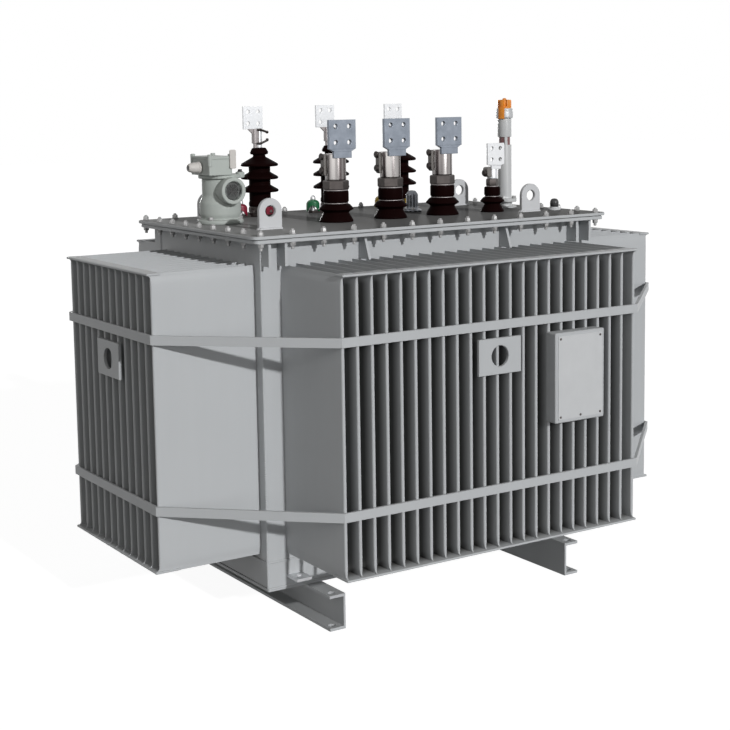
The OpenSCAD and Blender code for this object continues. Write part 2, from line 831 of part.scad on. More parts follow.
// A round cap on the marker stud of a bushing
module marker_cap(place) {
  radius = marker_cap_diameter / 2;
  translate([place * hv_pitch - marker_offset, hv_y, cover_top + hv_ear_height + marker_nut_height])
    turned([[0, 0], [radius, 0], [radius, marker_cap_height - marker_cap_bevel],
            [radius - marker_cap_bevel, marker_cap_height], [0, marker_cap_height]]);
}

module marker_cap_left() { color([0.45, 0.06, 0.10]) marker_cap(-1); }
module marker_cap_middle() { color([0.08, 0.35, 0.16]) marker_cap(0); }
module marker_cap_right() { color([0.70, 0.52, 0.12]) marker_cap(1); }

// Two flared porcelain skirts under a plain drum, standing on z = 0
module skirted_porcelain(foot, skirt, waist, rim, drum, drum_height) {
  shoulder = (foot + drum) / 4;
  turned([[0, 0], [foot / 2, 0], [foot / 2, rim], [drum / 2, waist], [foot / 2, waist + rim],
          [foot / 2, waist + 2 * rim], [shoulder, skirt - rim / 2], [drum / 2 - rim / 2, skirt],
          [drum / 2, skirt + rim / 2], [drum / 2, skirt + drum_height], [0, skirt + drum_height]]);
}

module lv_bushing(place) {
  color(porcelain) translate([place * lv_pitch, -lv_row, cover_top])
    skirted_porcelain(lv_foot_diameter, lv_skirt_height, lv_waist_level, lv_skirt_rim,
                      lv_drum_diameter, lv_drum_height);
}

module lv_bushing_left() { lv_bushing(-1); }
module lv_bushing_middle() { lv_bushing(0); }
module lv_bushing_right() { lv_bushing(1); }

// A hexagon nut under a clamp barrel, with the clamp's ear on the left
module clamp_barrel(nut, nut_height, barrel, barrel_height, ear_reach, ear, margin) {
  rotate(30) cylinder(d = nut / cos(30), h = nut_height, $fn = 6);
  cylinder(d = barrel, h = nut_height + barrel_height);
  translate([-ear_reach, -ear / 2, nut_height + margin])
    cube([ear_reach, ear, barrel_height - 2 * margin]);
}

// A flag on a narrower neck that rises from inside the front of the clamp barrel
module barrel_flag(neck, neck_height, barrel_height, width, height, thickness, across, up, hole) {
  translate([-neck / 2, -thickness / 2, -barrel_height / 2])
    cube([neck, thickness, barrel_height / 2 + neck_height + flag_lap]);
  translate([0, 0, neck_height]) terminal_flag(width, height, thickness, across, up, hole);
}

module lv_terminal(place) {
  flag_y = (lv_flag_thickness - lv_barrel_diameter) / 2;
  color(galvanised) translate([place * lv_pitch, -lv_row, cover_top + lv_porcelain_height]) {
    clamp_barrel(lv_nut_width, lv_nut_height, lv_barrel_diameter, lv_barrel_height,
                 lv_ear_reach, lv_ear_thickness, lv_ear_margin);
    translate([lv_flag_shift, flag_y, lv_nut_height + lv_barrel_height])
      barrel_flag(lv_neck_width, lv_neck_height, lv_barrel_height, lv_flag_width, lv_flag_height,
                  lv_flag_thickness, lv_hole_across, lv_hole_up, lv_flag_hole);
  }
}

module lv_terminal_left() { lv_terminal(-1); }
module lv_terminal_middle() { lv_terminal(0); }
module lv_terminal_right() { lv_terminal(1); }

module neutral_bushing() {
  color(porcelain) translate([neutral_x, -neutral_row, cover_top])
    skirted_porcelain(neutral_foot_diameter, neutral_skirt_height, neutral_waist_level, neutral_skirt_rim,
                      neutral_drum_diameter, neutral_drum_height);
}

module neutral_terminal() {
  flag_y = (neutral_flag_thickness - neutral_barrel_diameter) / 2;
  color(galvanised) translate([neutral_x, -neutral_row, cover_top + neutral_porcelain_height]) {
    clamp_barrel(neutral_nut_width, neutral_nut_height, neutral_barrel_diameter, neutral_barrel_height,
                 neutral_ear_reach, neutral_ear_thickness, neutral_ear_margin);
    translate([neutral_flag_shift, flag_y, neutral_nut_height + neutral_barrel_height])
      barrel_flag(neutral_neck_width, neutral_neck_height, neutral_barrel_height, neutral_flag_width,
                  neutral_flag_height, neutral_flag_thickness, neutral_hole_across, neutral_hole_up,
                  neutral_flag_hole);
  }
}

module level_tube() {
  color(paint) translate([level_x, 0, cover_top]) {
    cylinder(d = level_diameter, h = level_collar_foot - cover_top);
    cylinder(d = level_flange_diameter, h = level_pad_thickness);
    translate([0, 0, level_stub_height]) cylinder(d = level_flange_diameter, h = level_flange_thickness);
    translate([0, 0, level_collar_foot - cover_top])
      cylinder(d = level_collar_diameter, h = level_collar_height);
  }
}

module level_cap() {
  notch_place = level_cap_diameter / 2 + level_notch_offset;
  color([0.85, 0.48, 0.10]) translate([level_x, 0, level_collar_top]) difference() {
    cylinder(d = level_cap_diameter, h = level_cap_height);
    for (i = [0 : level_notches - 1])
      rotate(360 * i / level_notches) translate([notch_place, 0, level_cap_band])
        cylinder(r = level_notch_radius, h = level_cap_height);
  }
}

// A round pot, neck and head plate on a foot flange, with a ring for the window towards -Y
module relay_body() {
  flange = relay_flange_diameter / 2;
  pot = relay_pot_diameter / 2;
  neck = relay_neck_diameter / 2;
  step = pot - neck;
  glass_room = relay_glass_depth + relay_glass_thickness;
  color(paint) translate([relay_x, relay_row, cover_top]) difference() {
    union() {
      turned([[0, 0], [flange, 0], [flange, relay_flange_thickness], [neck, relay_flange_thickness],
              [pot, relay_flange_thickness + step], [pot, relay_pot_top - step],
              [neck, relay_pot_top + step / 2], [neck, relay_head_foot], [0, relay_head_foot]]);
      translate([0, 0, relay_head_foot]) cylinder(d = relay_head_diameter, h = relay_head_thickness);
      translate([0, 0, relay_window_level]) rotate([90, 0, 0])
        cylinder(d = relay_ring_diameter, h = relay_ring_reach);
    }
    translate([0, glass_room - relay_ring_reach, relay_window_level]) rotate([90, 0, 0])
      cylinder(d = relay_glass_diameter, h = glass_room + through);
  }
}

module relay_window() {
  glass_back = relay_row + relay_glass_depth + relay_glass_thickness - relay_ring_reach;
  color([0.25, 0.30, 0.30])
    translate([relay_x, glass_back, cover_top + relay_window_level])
      rotate([90, 0, 0]) cylinder(d = relay_glass_diameter, h = relay_glass_thickness);
}

// A box on top of the relay with a cable gland towards -X
module relay_terminal_box() {
  color(paint)
    translate([relay_x - relay_box_shift, relay_row - relay_box_advance, cover_top + relay_head_top]) {
      translate([-relay_box_width / 2, -relay_box_depth / 2, 0])
        cube([relay_box_width, relay_box_depth, relay_box_height]);
      translate([0, 0, gland_level]) rotate([0, -90, 0])
        cylinder(d = gland_diameter, h = relay_box_width / 2 + gland_length);
    }
}

module thermometer_pocket() {
  foot = pocket_foot_diameter / 2;
  cap = pocket_cap_diameter / 2;
  top = pocket_foot_height + pocket_cap_height;
  color([0.10, 0.10, 0.11]) translate([pocket_x, pocket_y, cover_top])
    turned([[0, 0], [foot, 0], [foot, pocket_foot_height], [cap, pocket_foot_height],
            [cap, top - pocket_bevel], [cap - pocket_bevel, top], [0, top]]);
}

module tap_changer() {
  foot = tap_foot_diameter / 2;
  hood = tap_hood_diameter / 2;
  top = tap_foot_height + tap_hood_height;
  color([0.35, 0.36, 0.38]) translate([tap_x, tap_y, cover_top])
    turned([[0, 0], [foot, 0], [foot, tap_foot_height], [hood, tap_foot_height],
            [hood, top - tap_bevel], [hood - tap_bevel, top], [0, top]]);
}

skid_left();
skid_right();
tank_floor();
front_wall();
back_wall();
left_wall();
right_wall();
front_fins();
back_fins();
left_fins();
right_fins();
rim_flange();
rim_gussets();
cover_gasket();
tank_cover();
upper_band();
lower_band();
lashing_plates();
name_plate_bracket();
rating_plate();
earth_tabs();
lifting_lugs();
hv_clamps();
hv_bushing_left();
hv_bushing_middle();
hv_bushing_right();
hv_terminal_left();
hv_terminal_middle();
hv_terminal_right();
marker_cap_left();
marker_cap_middle();
marker_cap_right();
lv_bushing_left();
lv_bushing_middle();
lv_bushing_right();
lv_terminal_left();
lv_terminal_middle();
lv_terminal_right();
neutral_bushing();
neutral_terminal();
level_tube();
level_cap();
relay_body();
relay_window();
relay_terminal_box();
thermometer_pocket();
tap_changer();
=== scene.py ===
import math

import bmesh
import bpy
import numpy as np
from mathutils import Matrix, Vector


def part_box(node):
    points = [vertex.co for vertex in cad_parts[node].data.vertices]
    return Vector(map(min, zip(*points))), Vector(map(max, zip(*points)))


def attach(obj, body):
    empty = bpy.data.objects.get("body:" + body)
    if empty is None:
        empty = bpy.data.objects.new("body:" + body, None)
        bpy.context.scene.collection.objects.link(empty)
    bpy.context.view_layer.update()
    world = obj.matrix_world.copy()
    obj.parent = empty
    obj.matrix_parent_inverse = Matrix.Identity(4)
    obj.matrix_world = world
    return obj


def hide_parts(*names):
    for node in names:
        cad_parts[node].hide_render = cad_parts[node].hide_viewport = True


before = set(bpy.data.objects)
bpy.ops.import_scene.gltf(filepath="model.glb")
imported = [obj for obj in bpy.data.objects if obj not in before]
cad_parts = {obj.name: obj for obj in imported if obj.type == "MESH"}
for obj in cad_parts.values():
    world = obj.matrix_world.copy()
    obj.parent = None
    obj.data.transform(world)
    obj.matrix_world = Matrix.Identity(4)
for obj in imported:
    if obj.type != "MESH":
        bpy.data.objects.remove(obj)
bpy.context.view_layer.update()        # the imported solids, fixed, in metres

mm = 0.001                          # the dictionaries below are in millimetres
dice = np.random.default_rng(7)     # the same draws in every run
print("frame loaded:", len(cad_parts), "solids")


def inMetres(look):                 # the values of a dictionary of millimetres, as metres
    return {key: value * mm for key, value in look.items()}


# Shapes: a shape is a pair of arrays, its points and its four-cornered faces. Plain numbers in the shapes
# below are roundings and overlaps in metres, and counts of sides

def skin(rings, ends=True, loop=False):
    # rings[i, j] is point j of ring i; a face joins two neighbours on one ring to the same two on the next
    rings = np.asarray(rings, float)
    if ends and not loop:           # a ring shrunk to its own middle closes each end
        outer = rings[[0, -1]]
        middles = outer.mean(1, keepdims=True) + np.zeros_like(outer)
        rings = np.concatenate([middles[:1], rings, middles[1:]])
    rows, cols = rings.shape[:2]
    index = np.arange(rows * cols).reshape(rows, cols)
    if loop:                        # the last ring joins the first
        index = np.concatenate([index, index[:1]])
    beside = np.roll(index, -1, 1)
    faces = np.stack([index[:-1], beside[:-1], beside[1:], index[1:]], -1)
    return rings.reshape(-1, 3), faces.reshape(-1, 4)


def joined(shapes):
    starts = np.cumsum([0] + [len(points) for points, faces in shapes[:-1]])
    points = np.concatenate([points for points, faces in shapes])
    faces = np.concatenate([faces + start for (points, faces), start in zip(shapes, starts)])
    return points, faces


def moved(shape, x=0.0, y=0.0, z=0.0):
    return shape[0] + np.array([x, y, z]), shape[1]


def spun(shape, degrees):           # turned about Z
    return shape[0] @ np.array(Matrix.Rotation(math.radians(degrees), 3, "Z")).T, shape[1]


aims = {                            # where a shape's own X, Y and Z go when its Z is laid along a way
    "x": [[0, 0, 1], [1, 0, 0], [0, 1, 0]],
    "-x": [[0, 0, -1], [-1, 0, 0], [0, 1, 0]],
    "-y": [[1, 0, 0], [0, 0, -1], [0, 1, 0]],
    "-z": [[1, 0, 0], [0, -1, 0], [0, 0, -1]],
}


def aimed(shape, way):
    return shape[0] @ np.array(aims[way], float).T, shape[1]


def placed(shapes, x, y, z):        # each shape moved by the same way
    return [moved(shape, x, y, z) for shape in shapes]


def fullTurn(sides):                # even angles once round
    return np.arange(sides) * 2 * np.pi / sides


def onCircle(angles, radius=1.0):   # the points of a circle at the given angles
    return radius * np.stack([np.cos(angles), np.sin(angles)], 1)


def circle(radius, sides=32):
    return onCircle(fullTurn(sides), radius)


def hexagon(width):                 # width over the flats
    return circle(width / math.sqrt(3), 6)


def softened(points, reach, steps=4, closed=True):
    # each corner p becomes the curve (1-t)²a + 2t(1-t)p + t²b, a and b on its two edges at most reach away
    points = np.asarray(points, float)
    before, after = np.roll(points, 1, 0) - points, np.roll(points, -1, 0) - points
    share = [np.minimum(reach / np.maximum(np.linalg.norm(edge, axis=1), 1e-9), 0.5)[:, None]
             for edge in (before, after)]
    a, b = points + share[0] * before, points + share[1] * after
    t = np.linspace(0, 1, steps + 1)[None, :, None]
    curve = (1 - t) ** 2 * a[:, None] + 2 * t * (1 - t) * points[:, None] + t ** 2 * b[:, None]
    if not closed:                  # an open line keeps its two ends
        curve[0], curve[-1] = points[0], points[-1]
    return curve.reshape(-1, 2)


def rectangle(width, depth, radius=0.0, steps=5):
    points = np.array([[-1, -1], [1, -1], [1, 1], [-1, 1]]) * [width / 2, depth / 2]
    return softened(points, radius, steps) if radius else points


def shrunk(outline, distance):      # each point goes inwards along the mitre of its two edges
    edge = np.roll(outline, -1, 0) - outline
    out = np.stack([edge[:, 1], -edge[:, 0]], 1) / np.linalg.norm(edge, axis=1, keepdims=True)
    before = np.roll(out, 1, 0)
    return outline - distance * (out + before) / (1 + (out * before).sum(1))[:, None]


def level(outline, height):
    return np.c_[outline, np.full(len(outline), height)]


def slab(outline, low, high, bevel=0.0):
    # a flat outline carried up from low to high, drawn in by the bevel at both ends
    rings = [level(shrunk(outline, bevel), low), level(outline, low + bevel),
             level(outline, high - bevel), level(shrunk(outline, bevel), high)]
    return skin(rings)


def pierced(outer, inner, low, high, bevel=0.0):
    # a slab with a hole: the two outlines run point by point beside each other and close into one ring
    rings = [level(shrunk(outer, bevel), low), level(outer, low + bevel), level(outer, high - bevel),
             level(shrunk(outer, bevel), high), level(shrunk(inner, -bevel), high),
             level(inner, high - bevel), level(inner, low + bevel), level(shrunk(inner, -bevel), low)]
    return skin(rings, loop=True)


def turnedOn(profile, sides=48):
    # rows of radius and height, carried round the Z axis
    turn = fullTurn(sides)
    radius, height = np.asarray(profile, float).T
    rings = np.stack([radius[:, None] * np.cos(turn), radius[:, None] * np.sin(turn),
                      height[:, None] + 0 * turn], -1)
    return skin(rings)


def lathe(rows, soft, steps=3, sides=48):
    # rows of radius and height from pole to pole, with softened corners, carried round the Z axis
    return turnedOn(softened(rows, soft, steps, closed=False), sides)


def rod(radius, length, bevel=0.0, sides=24):
    return slab(circle(radius, sides), 0, length, bevel)


def aroundHole(angles, right, left, up, down):
    # the point of a rectangle's edge seen from its hole at each angle: the nearest of the four sides
    wayX, wayY = np.cos(angles), np.sin(angles)
    sideX = np.where(wayX > 0, right, left) / np.maximum(np.abs(wayX), 1e-9)
    sideY = np.where(wayY > 0, up, down) / np.maximum(np.abs(wayY), 1e-9)
    return np.minimum(sideX, sideY)[:, None] * np.stack([wayX, wayY], 1)


def holedPlate(right, left, up, down, hole, low, high, bevel, sides=48):
    # a rectangle around a round hole, its corners among the angles
    turns = np.arctan2([up, up, -down, -down], [right, -left, -left, right])
    angles = np.unique(np.concatenate([fullTurn(sides), turns % (2 * np.pi)]).round(9))
    return pierced(aroundHole(angles, right, left, up, down), onCircle(angles, hole), low, high, bevel)


def weldBead(start, end, radius):
    # a circle carried from start to end, its radius rippling with the distance
    start, end = np.array(start, float), np.array(end, float)
    run = end - start
    length = np.linalg.norm(run)
    rows = max(int(length / weldLook["step"] / mm), 5)
    along = np.linspace(0, 1, rows)
    ripple = 1 + weldLook["ripple"] * np.sin(along * length / (weldLook["wave"] * mm) * 2 * np.pi)
    ripple = ripple + weldLook["unevenness"] * dice.standard_normal(rows)
    ripple[[0, -1]] = weldLook["endShare"]
    side = np.cross(run / length, [0.0, 0.0, 1.0] if abs(run[2]) < 0.9 * length else [1.0, 0.0, 0.0])
    side = side / np.linalg.norm(side)
    up = np.cross(run / length, side)
    turn = fullTurn(weldLook["sides"])
    ring = np.cos(turn)[:, None] * side + np.sin(turn)[:, None] * up
    return skin((start + along[:, None] * run)[:, None] + radius * ripple[:, None, None] * ring)


def bentRod(path, radius, sides=8):
    # a circle carried along a path, square to the way between the neighbouring points
    path = np.asarray(path, float)
    ways = np.gradient(path, axis=0)
    ways = ways / np.linalg.norm(ways, axis=1, keepdims=True)
    side = np.cross(ways, [0.0, 0.0, 1.0])
    side = side / np.linalg.norm(side, axis=1, keepdims=True)
    up = np.cross(side, ways)
    turn = fullTurn(sides)
    ring = np.cos(turn)[:, None] * side[:, None] + np.sin(turn)[:, None] * up[:, None]
    return skin(path[:, None] + radius * ring)


def wallSector(inner, outer, low, high, middle, span, steps=10):
    # part of a tube's wall, span degrees wide about its middle angle
    turn = np.radians(middle + np.linspace(-span / 2, span / 2, steps))
    way = onCircle(turn)
    line = np.concatenate([outer * way, inner * way[::-1]])
    return skin([level(line, low), level(line, high)])


def boltHead(width, height, washer, washerHeight):
    # a round washer under a hexagon head with a turned-off top
    head = hexagon(width)
    top = skin([level(head, washerHeight), level(head, washerHeight + height * 0.8),
                level(head * 0.86, washerHeight + height)])
    return joined([slab(circle(washer / 2, 16), 0, washerHeight, 0.2 * washerHeight), top])


# Small bolts: width over the flats, height of the head, width of the washer and height of the washer
smallBolts = {"clamp": (13.0, 7.0, 18.0, 2.0), "relay": (13.0, 7.0, 18.0, 2.0),
              "ear": (12.0, 6.0, 16.0, 1.6), "level": (12.0, 7.0, 16.0, 1.8), "tap": (11.0, 6.0, 15.0, 1.6)}
boltTurns = {"clamp": (30, 100, 210, 290), "relay": (35, 145, 215, 325), "level": (45, 135, 225, 315),
             "tap": (0, 120, 240)}              # degrees round the flange


def smallBolt(place):
    return boltHead(*(size * mm for size in smallBolts[place]))


def boltCircle(place, reach, height):
    # a place's small bolts at one distance from the Z axis and one height, at the place's angles
    bolt = moved(smallBolt(place), reach, 0, height)
    return [spun(bolt, turn) for turn in boltTurns[place]]


def makePiece(name, shapes, material, standsFor=(), crease=35.0, bevel=0.0):
    points, faces = joined(shapes)
    mesh = bpy.data.meshes.new(name)
    mesh.from_pydata(points.tolist(), [], faces.tolist())
    work = bmesh.new()
    work.from_mesh(mesh)
    bmesh.ops.remove_doubles(work, verts=work.verts, dist=1e-6)     # closes poles and seams
    bmesh.ops.recalc_face_normals(work, faces=work.faces)
    work.to_mesh(mesh)
    work.free()
    mesh.polygons.foreach_set("use_smooth", np.ones(len(mesh.polygons), bool))
    mesh.set_sharp_from_angle(angle=math.radians(crease))
    mesh.materials.append(material)
    piece = bpy.data.objects.new(name, mesh)
    bpy.context.scene.collection.objects.link(piece)
    if bevel:
        rounding = piece.modifiers.new("roundedEdges", "BEVEL")
        rounding.width = bevel
        rounding.segments = 2
        rounding.limit_method = "ANGLE"
        rounding.angle_limit = math.radians(50)
        rounding.harden_normals = True
    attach(piece, "root")
    if standsFor:
        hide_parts(*standsFor)
    return piece


def corners(node):                  # a solid's lowest and highest corners, and its middle
    low, high = (np.array(corner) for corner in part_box(node))
    return low, high, (low + high) / 2


# Camera at the photograph's place, looking over the front left corner

cameraLook = {
    "lens": 73.35, "sensor": 36.0,              # millimetres
    "place": (-2.45632, -3.77686, 1.44122),     # metres
    "yaw": 32.70, "pitch": 7.05, "roll": 0.86,  # degrees: to the right of +Y, downwards, clockwise
    "picture": 730, "axisRow": 281.87,          # picture size and the row that the optical axis meets
}


def placeCamera(look):
    yaw, pitch, roll = (math.radians(look[key]) for key in ("yaw", "pitch", "roll"))
    ahead = np.array([math.sin(yaw) * math.cos(pitch), math.cos(yaw) * math.cos(pitch), -math.sin(pitch)])
    right = np.array([math.cos(yaw), -math.sin(yaw), 0.0])
    down = np.cross(ahead, right)
    rolledRight = math.cos(roll) * right + math.sin(roll) * down
    rolledDown = math.cos(roll) * down - math.sin(roll) * right
    data = bpy.data.cameras.new("photoCamera")
    data.lens, data.sensor_width, data.sensor_fit = look["lens"], look["sensor"], "HORIZONTAL"
    data.shift_y = (look["axisRow"] - look["picture"] / 2) / look["picture"]
    data.clip_end = 200
    camera = bpy.data.objects.new("photoCamera", data)
    bpy.context.scene.collection.objects.link(camera)
    matrix = np.eye(4)
    matrix[:3] = np.stack([rolledRight, -rolledDown, -ahead, look["place"]], 1)
    camera.matrix_world = Matrix(matrix)
    bpy.context.scene.camera = camera


placeCamera(cameraLook)
print("camera placed")


# Finishes: node groups first, then one short function for each material

def newGroup(name, inputs, outputs):
    group = bpy.data.node_groups.new(name, "ShaderNodeTree")
    for label, value in inputs.items():
        socket = group.interface.new_socket(label, in_out="INPUT", socket_type="NodeSocketFloat")
        socket.default_value = value
    for label in outputs:
        group.interface.new_socket(label, in_out="OUTPUT", socket_type="NodeSocketFloat")
    return group, group.nodes.new("NodeGroupInput").outputs, group.nodes.new("NodeGroupOutput").inputs


def mathNode(tree, operation, first, second=None, third=None, clamp=False):
    node = tree.nodes.new("ShaderNodeMath")
    node.operation, node.use_clamp = operation, clamp
    for socket, value in zip(node.inputs, (first, second, third)):
        if value is None:
            continue
        if isinstance(value, (int, float)):
            socket.default_value = value
        else:
            tree.links.new(value, socket)
    return node.outputs[0]


def noiseNode(tree, scale, detail=2.0, rough=0.5, stretch=(1, 1, 1)):
    # noise on Object coordinates, squeezed along an axis by the stretch
    coordinates = tree.nodes.new("ShaderNodeTexCoord").outputs["Object"]
    mapping = tree.nodes.new("ShaderNodeMapping")
    mapping.inputs["Scale"].default_value = stretch
    noise = tree.nodes.new("ShaderNodeTexNoise")
    noise.inputs["Detail"].default_value = detail
    noise.inputs["Roughness"].default_value = rough
    tree.links.new(coordinates, mapping.inputs["Vector"])
    tree.links.new(mapping.outputs["Vector"], noise.inputs["Vector"])
    if isinstance(scale, (int, float)):
        noise.inputs["Scale"].default_value = scale
    else:
        tree.links.new(scale, noise.inputs["Scale"])
    return noise.outputs[0]


sprayLook = {"streakSize": 5.0, "streakStretch": (6, 6, 0.5), "streakShare": 0.4, "peelHeight": 0.00005,
             "waveSize": 7.0, "waveHeight": 0.0016, "glossSize": 22.0}          # heights in metres
dustLook = {"start": 0.55, "rate": 2.0}         # the normal's Z where dust starts, and how fast it comes
metalLook = {"scratchSize": 900.0, "scratchStretch": (1, 1, 0.08), "scratchHeight": 0.00004,
             "glossSize": 140.0}
# the bands of the painted reflections on the barrels
reflectionStreakLook = {"size": 70.0, "stretch": (1, 1, 0.01), "contrast": 3.4, "shift": -1.2, "gloss": (0.20, 0.32)}


def makeSprayGroup():
    # sprayed paint: slow cloudiness for the colour, fine peel and slow waves for the height, uneven gloss
    look = sprayLook
    group, given, put = newGroup("sprayedCoat", {"Cloud Size": 3.0, "Peel Size": 420.0, "Wave": 1.0},
                                 ("Cloud", "Height", "Gloss"))
    cloud = noiseNode(group, given["Cloud Size"], 4.0, 0.55)
    # faint runs down the upright faces take a share of the cloudiness
    streak = noiseNode(group, look["streakSize"], 3.0, 0.6, look["streakStretch"])
    share = look["streakShare"]
    mixed = mathNode(group, "MULTIPLY_ADD", streak, share, mathNode(group, "MULTIPLY", cloud, 1 - share))
    group.links.new(mixed, put["Cloud"])
    peel = mathNode(group, "MULTIPLY", noiseNode(group, given["Peel Size"], 2.0, 0.5), look["peelHeight"])
    waveHeight = mathNode(group, "MULTIPLY", given["Wave"], look["waveHeight"])
    wave = mathNode(group, "MULTIPLY", noiseNode(group, look["waveSize"], 1.0, 0.4), waveHeight)
    group.links.new(mathNode(group, "ADD", peel, wave), put["Height"])
    group.links.new(noiseNode(group, look["glossSize"], 3.0, 0.6), put["Gloss"])
    return group


def makeDustGroup():
    # dust lies where a face looks up, broken by noise
    group, given, put = newGroup("settledDust", {"Amount": 0.3, "Patch Size": 14.0}, ("Mask",))
    normal = group.nodes.new("ShaderNodeNewGeometry").outputs["Normal"]
    parts = group.nodes.new("ShaderNodeSeparateXYZ")
    group.links.new(normal, parts.inputs[0])
    upward = mathNode(group, "SUBTRACT", parts.outputs["Z"], dustLook["start"], clamp=True)
    patch = noiseNode(group, given["Patch Size"], 5.0, 0.65)
    upward = mathNode(group, "MULTIPLY", upward, dustLook["rate"])
    amount = mathNode(group, "MULTIPLY", upward, given["Amount"])
    group.links.new(mathNode(group, "MULTIPLY", amount, patch, clamp=True), put["Mask"])
    return group


def makeMetalGroup():
    # worked metal: short scratches for the height, blotches for the colour and the gloss
    group, given, put = newGroup("workedMetal", {"Blotch Size": 60.0, "Scratch": 1.0},
                                 ("Blotch", "Height", "Gloss"))
    group.links.new(noiseNode(group, given["Blotch Size"], 5.0, 0.65), put["Blotch"])
    scratch = noiseNode(group, metalLook["scratchSize"], 2.0, 0.5, metalLook["scratchStretch"])
    scratchHeight = mathNode(group, "MULTIPLY", given["Scratch"], metalLook["scratchHeight"])
    group.links.new(mathNode(group, "MULTIPLY", scratch, scratchHeight), put["Height"])
    group.links.new(noiseNode(group, metalLook["glossSize"], 3.0, 0.6), put["Gloss"])
    return group


sprayGroup, dustGroup, metalGroup = makeSprayGroup(), makeDustGroup(), makeMetalGroup()


def useGroup(tree, group, **values):
    node = tree.nodes.new("ShaderNodeGroup")
    node.node_tree = group
    for label, value in values.items():
        node.inputs[label].default_value = value
    return node.outputs


def between(tree, factor, low, high):           # a value running from low to high with the factor
    return mathNode(tree, "MULTIPLY_ADD", factor, high - low, low)


def mixColour(tree, factor, first, second):
    node = tree.nodes.new("ShaderNodeMix")
    node.data_type = "RGBA"
    for socket, value in zip((node.inputs[0], node.inputs[6], node.inputs[7]), (factor, first, second)):
        if isinstance(value, tuple):
            socket.default_value = (*value, 1.0)
        else:
            tree.links.new(value, socket)
    return node.outputs[2]


def newMaterial(name, **constants):
    material = bpy.data.materials.new(name)
    material.use_nodes = True
    tree = material.node_tree
    shader = tree.nodes["Principled BSDF"]
    for label, value in constants.items():
        shader.inputs[label.replace("_", " ")].default_value = value
    return material, tree, shader.inputs


def bumped(tree, put, height, strength=1.0):
    bump = tree.nodes.new("ShaderNodeBump")
    bump.inputs["Strength"].default_value = strength
    bump.inputs["Distance"].default_value = 1.0
    tree.links.new(height, bump.inputs["Height"])
    tree.links.new(bump.outputs["Normal"], put["Normal"])


def dressed(tree, put, colour, worked, gloss, strength=1.0):
    # the colour, a roughness that follows a group's gloss and a bump from its height
    tree.links.new(colour, put["Base Color"])
    tree.links.new(between(tree, worked["Gloss"], *gloss), put["Roughness"])
    bumped(tree, put, worked["Height"], strength)


def objectPlace(tree):              # X, Y and Z of the Object coordinates
    place = tree.nodes.new("ShaderNodeSeparateXYZ")
    tree.links.new(tree.nodes.new("ShaderNodeTexCoord").outputs["Object"], place.inputs[0])
    return place.outputs


# Painted shade deep between the fins: its colour, how fast it comes with the depth and from which share
# of that on, and how far below the fins' heads it ends and how fast, all on metres
finShadeLook = {"colour": (0.13, 0.133, 0.132), "rate": 30.0, "start": 0.25, "clear": 0.008, "clearRate": 40.0}


def paintedShadeBetweenFins(tree, out, along, tip, end, top):
    # painted shade mask: 1 deep between the fins; 0 at their tips and heads and on the outermost faces
    place, look = objectPlace(tree), finShadeLook
    depth = mathNode(tree, "SUBTRACT", tip, mathNode(tree, "ABSOLUTE", place[out]))
    deep = mathNode(tree, "MULTIPLY_ADD", depth, look["rate"], -look["start"], clamp=True)
    inside = mathNode(tree, "LESS_THAN", mathNode(tree, "ABSOLUTE", place[along]), end)
    below = mathNode(tree, "SUBTRACT", top - look["clear"], place["Z"])
    clear = mathNode(tree, "MULTIPLY", below, look["clearRate"], clamp=True)
    return mathNode(tree, "MULTIPLY", mathNode(tree, "MULTIPLY", deep, inside), clear)


def paintMaterial(name, light, dark, gloss=(0.36, 0.50), shine=0.20, wave=1.0, dust=0.35,
                  dustColour=(0.36, 0.345, 0.31), paintedSheen=None, finShade=None):
    # painted sheen: two places along X in metres and the colour at the second; painted shade: what the fin
    # mask needs
    material, tree, put = newMaterial(name, Specular_IOR_Level=shine)
    spray = useGroup(tree, sprayGroup, Wave=wave)
    colour = mixColour(tree, spray["Cloud"], dark, light)
    # painted sheen: the colour turns lighter along X
    if paintedSheen:
        start, end, sheenColour = paintedSheen
        share = mathNode(tree, "MULTIPLY_ADD", objectPlace(tree)["X"], 1 / (end - start),
                         -start / (end - start), clamp=True)
        colour = mixColour(tree, share, colour, sheenColour)
    # painted shade: the colour darkens deep between the fins
    if finShade:
        colour = mixColour(tree, paintedShadeBetweenFins(tree, *finShade), colour, finShadeLook["colour"])
    settled = useGroup(tree, dustGroup, Amount=dust)
    colour = mixColour(tree, settled["Mask"], colour, dustColour)
    dressed(tree, put, colour, spray, gloss)
    return material


def metalMaterial(name, light, dark, gloss, metallic=1.0, scratch=1.0, blotch=60.0):
    material, tree, put = newMaterial(name, Metallic=metallic)
    worked = useGroup(tree, metalGroup, **{"Scratch": scratch, "Blotch Size": blotch})
    dressed(tree, put, mixColour(tree, worked["Blotch"], dark, light), worked, gloss)
    return material


def paintedReflectionMaterial(name, light, dark):
    # painted reflections: upright bands of light and dark in the colour, as on a turned and polished barrel
    material, tree, put = newMaterial(name, Metallic=1.0)
    worked = useGroup(tree, metalGroup, **{"Scratch": 1.5, "Blotch Size": 90.0})
    bands = noiseNode(tree, reflectionStreakLook["size"], 1.0, 0.4, reflectionStreakLook["stretch"])
    sharp = mathNode(tree, "MULTIPLY_ADD", bands, reflectionStreakLook["contrast"], reflectionStreakLook["shift"], clamp=True)
    dressed(tree, put, mixColour(tree, sharp, dark, light), worked, reflectionStreakLook["gloss"])
    return material


def glazeMaterial(name, light, dark):
    material, tree, put = newMaterial(name, Specular_IOR_Level=0.005)
    spray = useGroup(tree, sprayGroup, **{"Cloud Size": 26.0, "Peel Size": 160.0, "Wave": 0.06})
    dressed(tree, put, mixColour(tree, spray["Cloud"], dark, light), spray, (0.32, 0.42), 0.5)
    return material


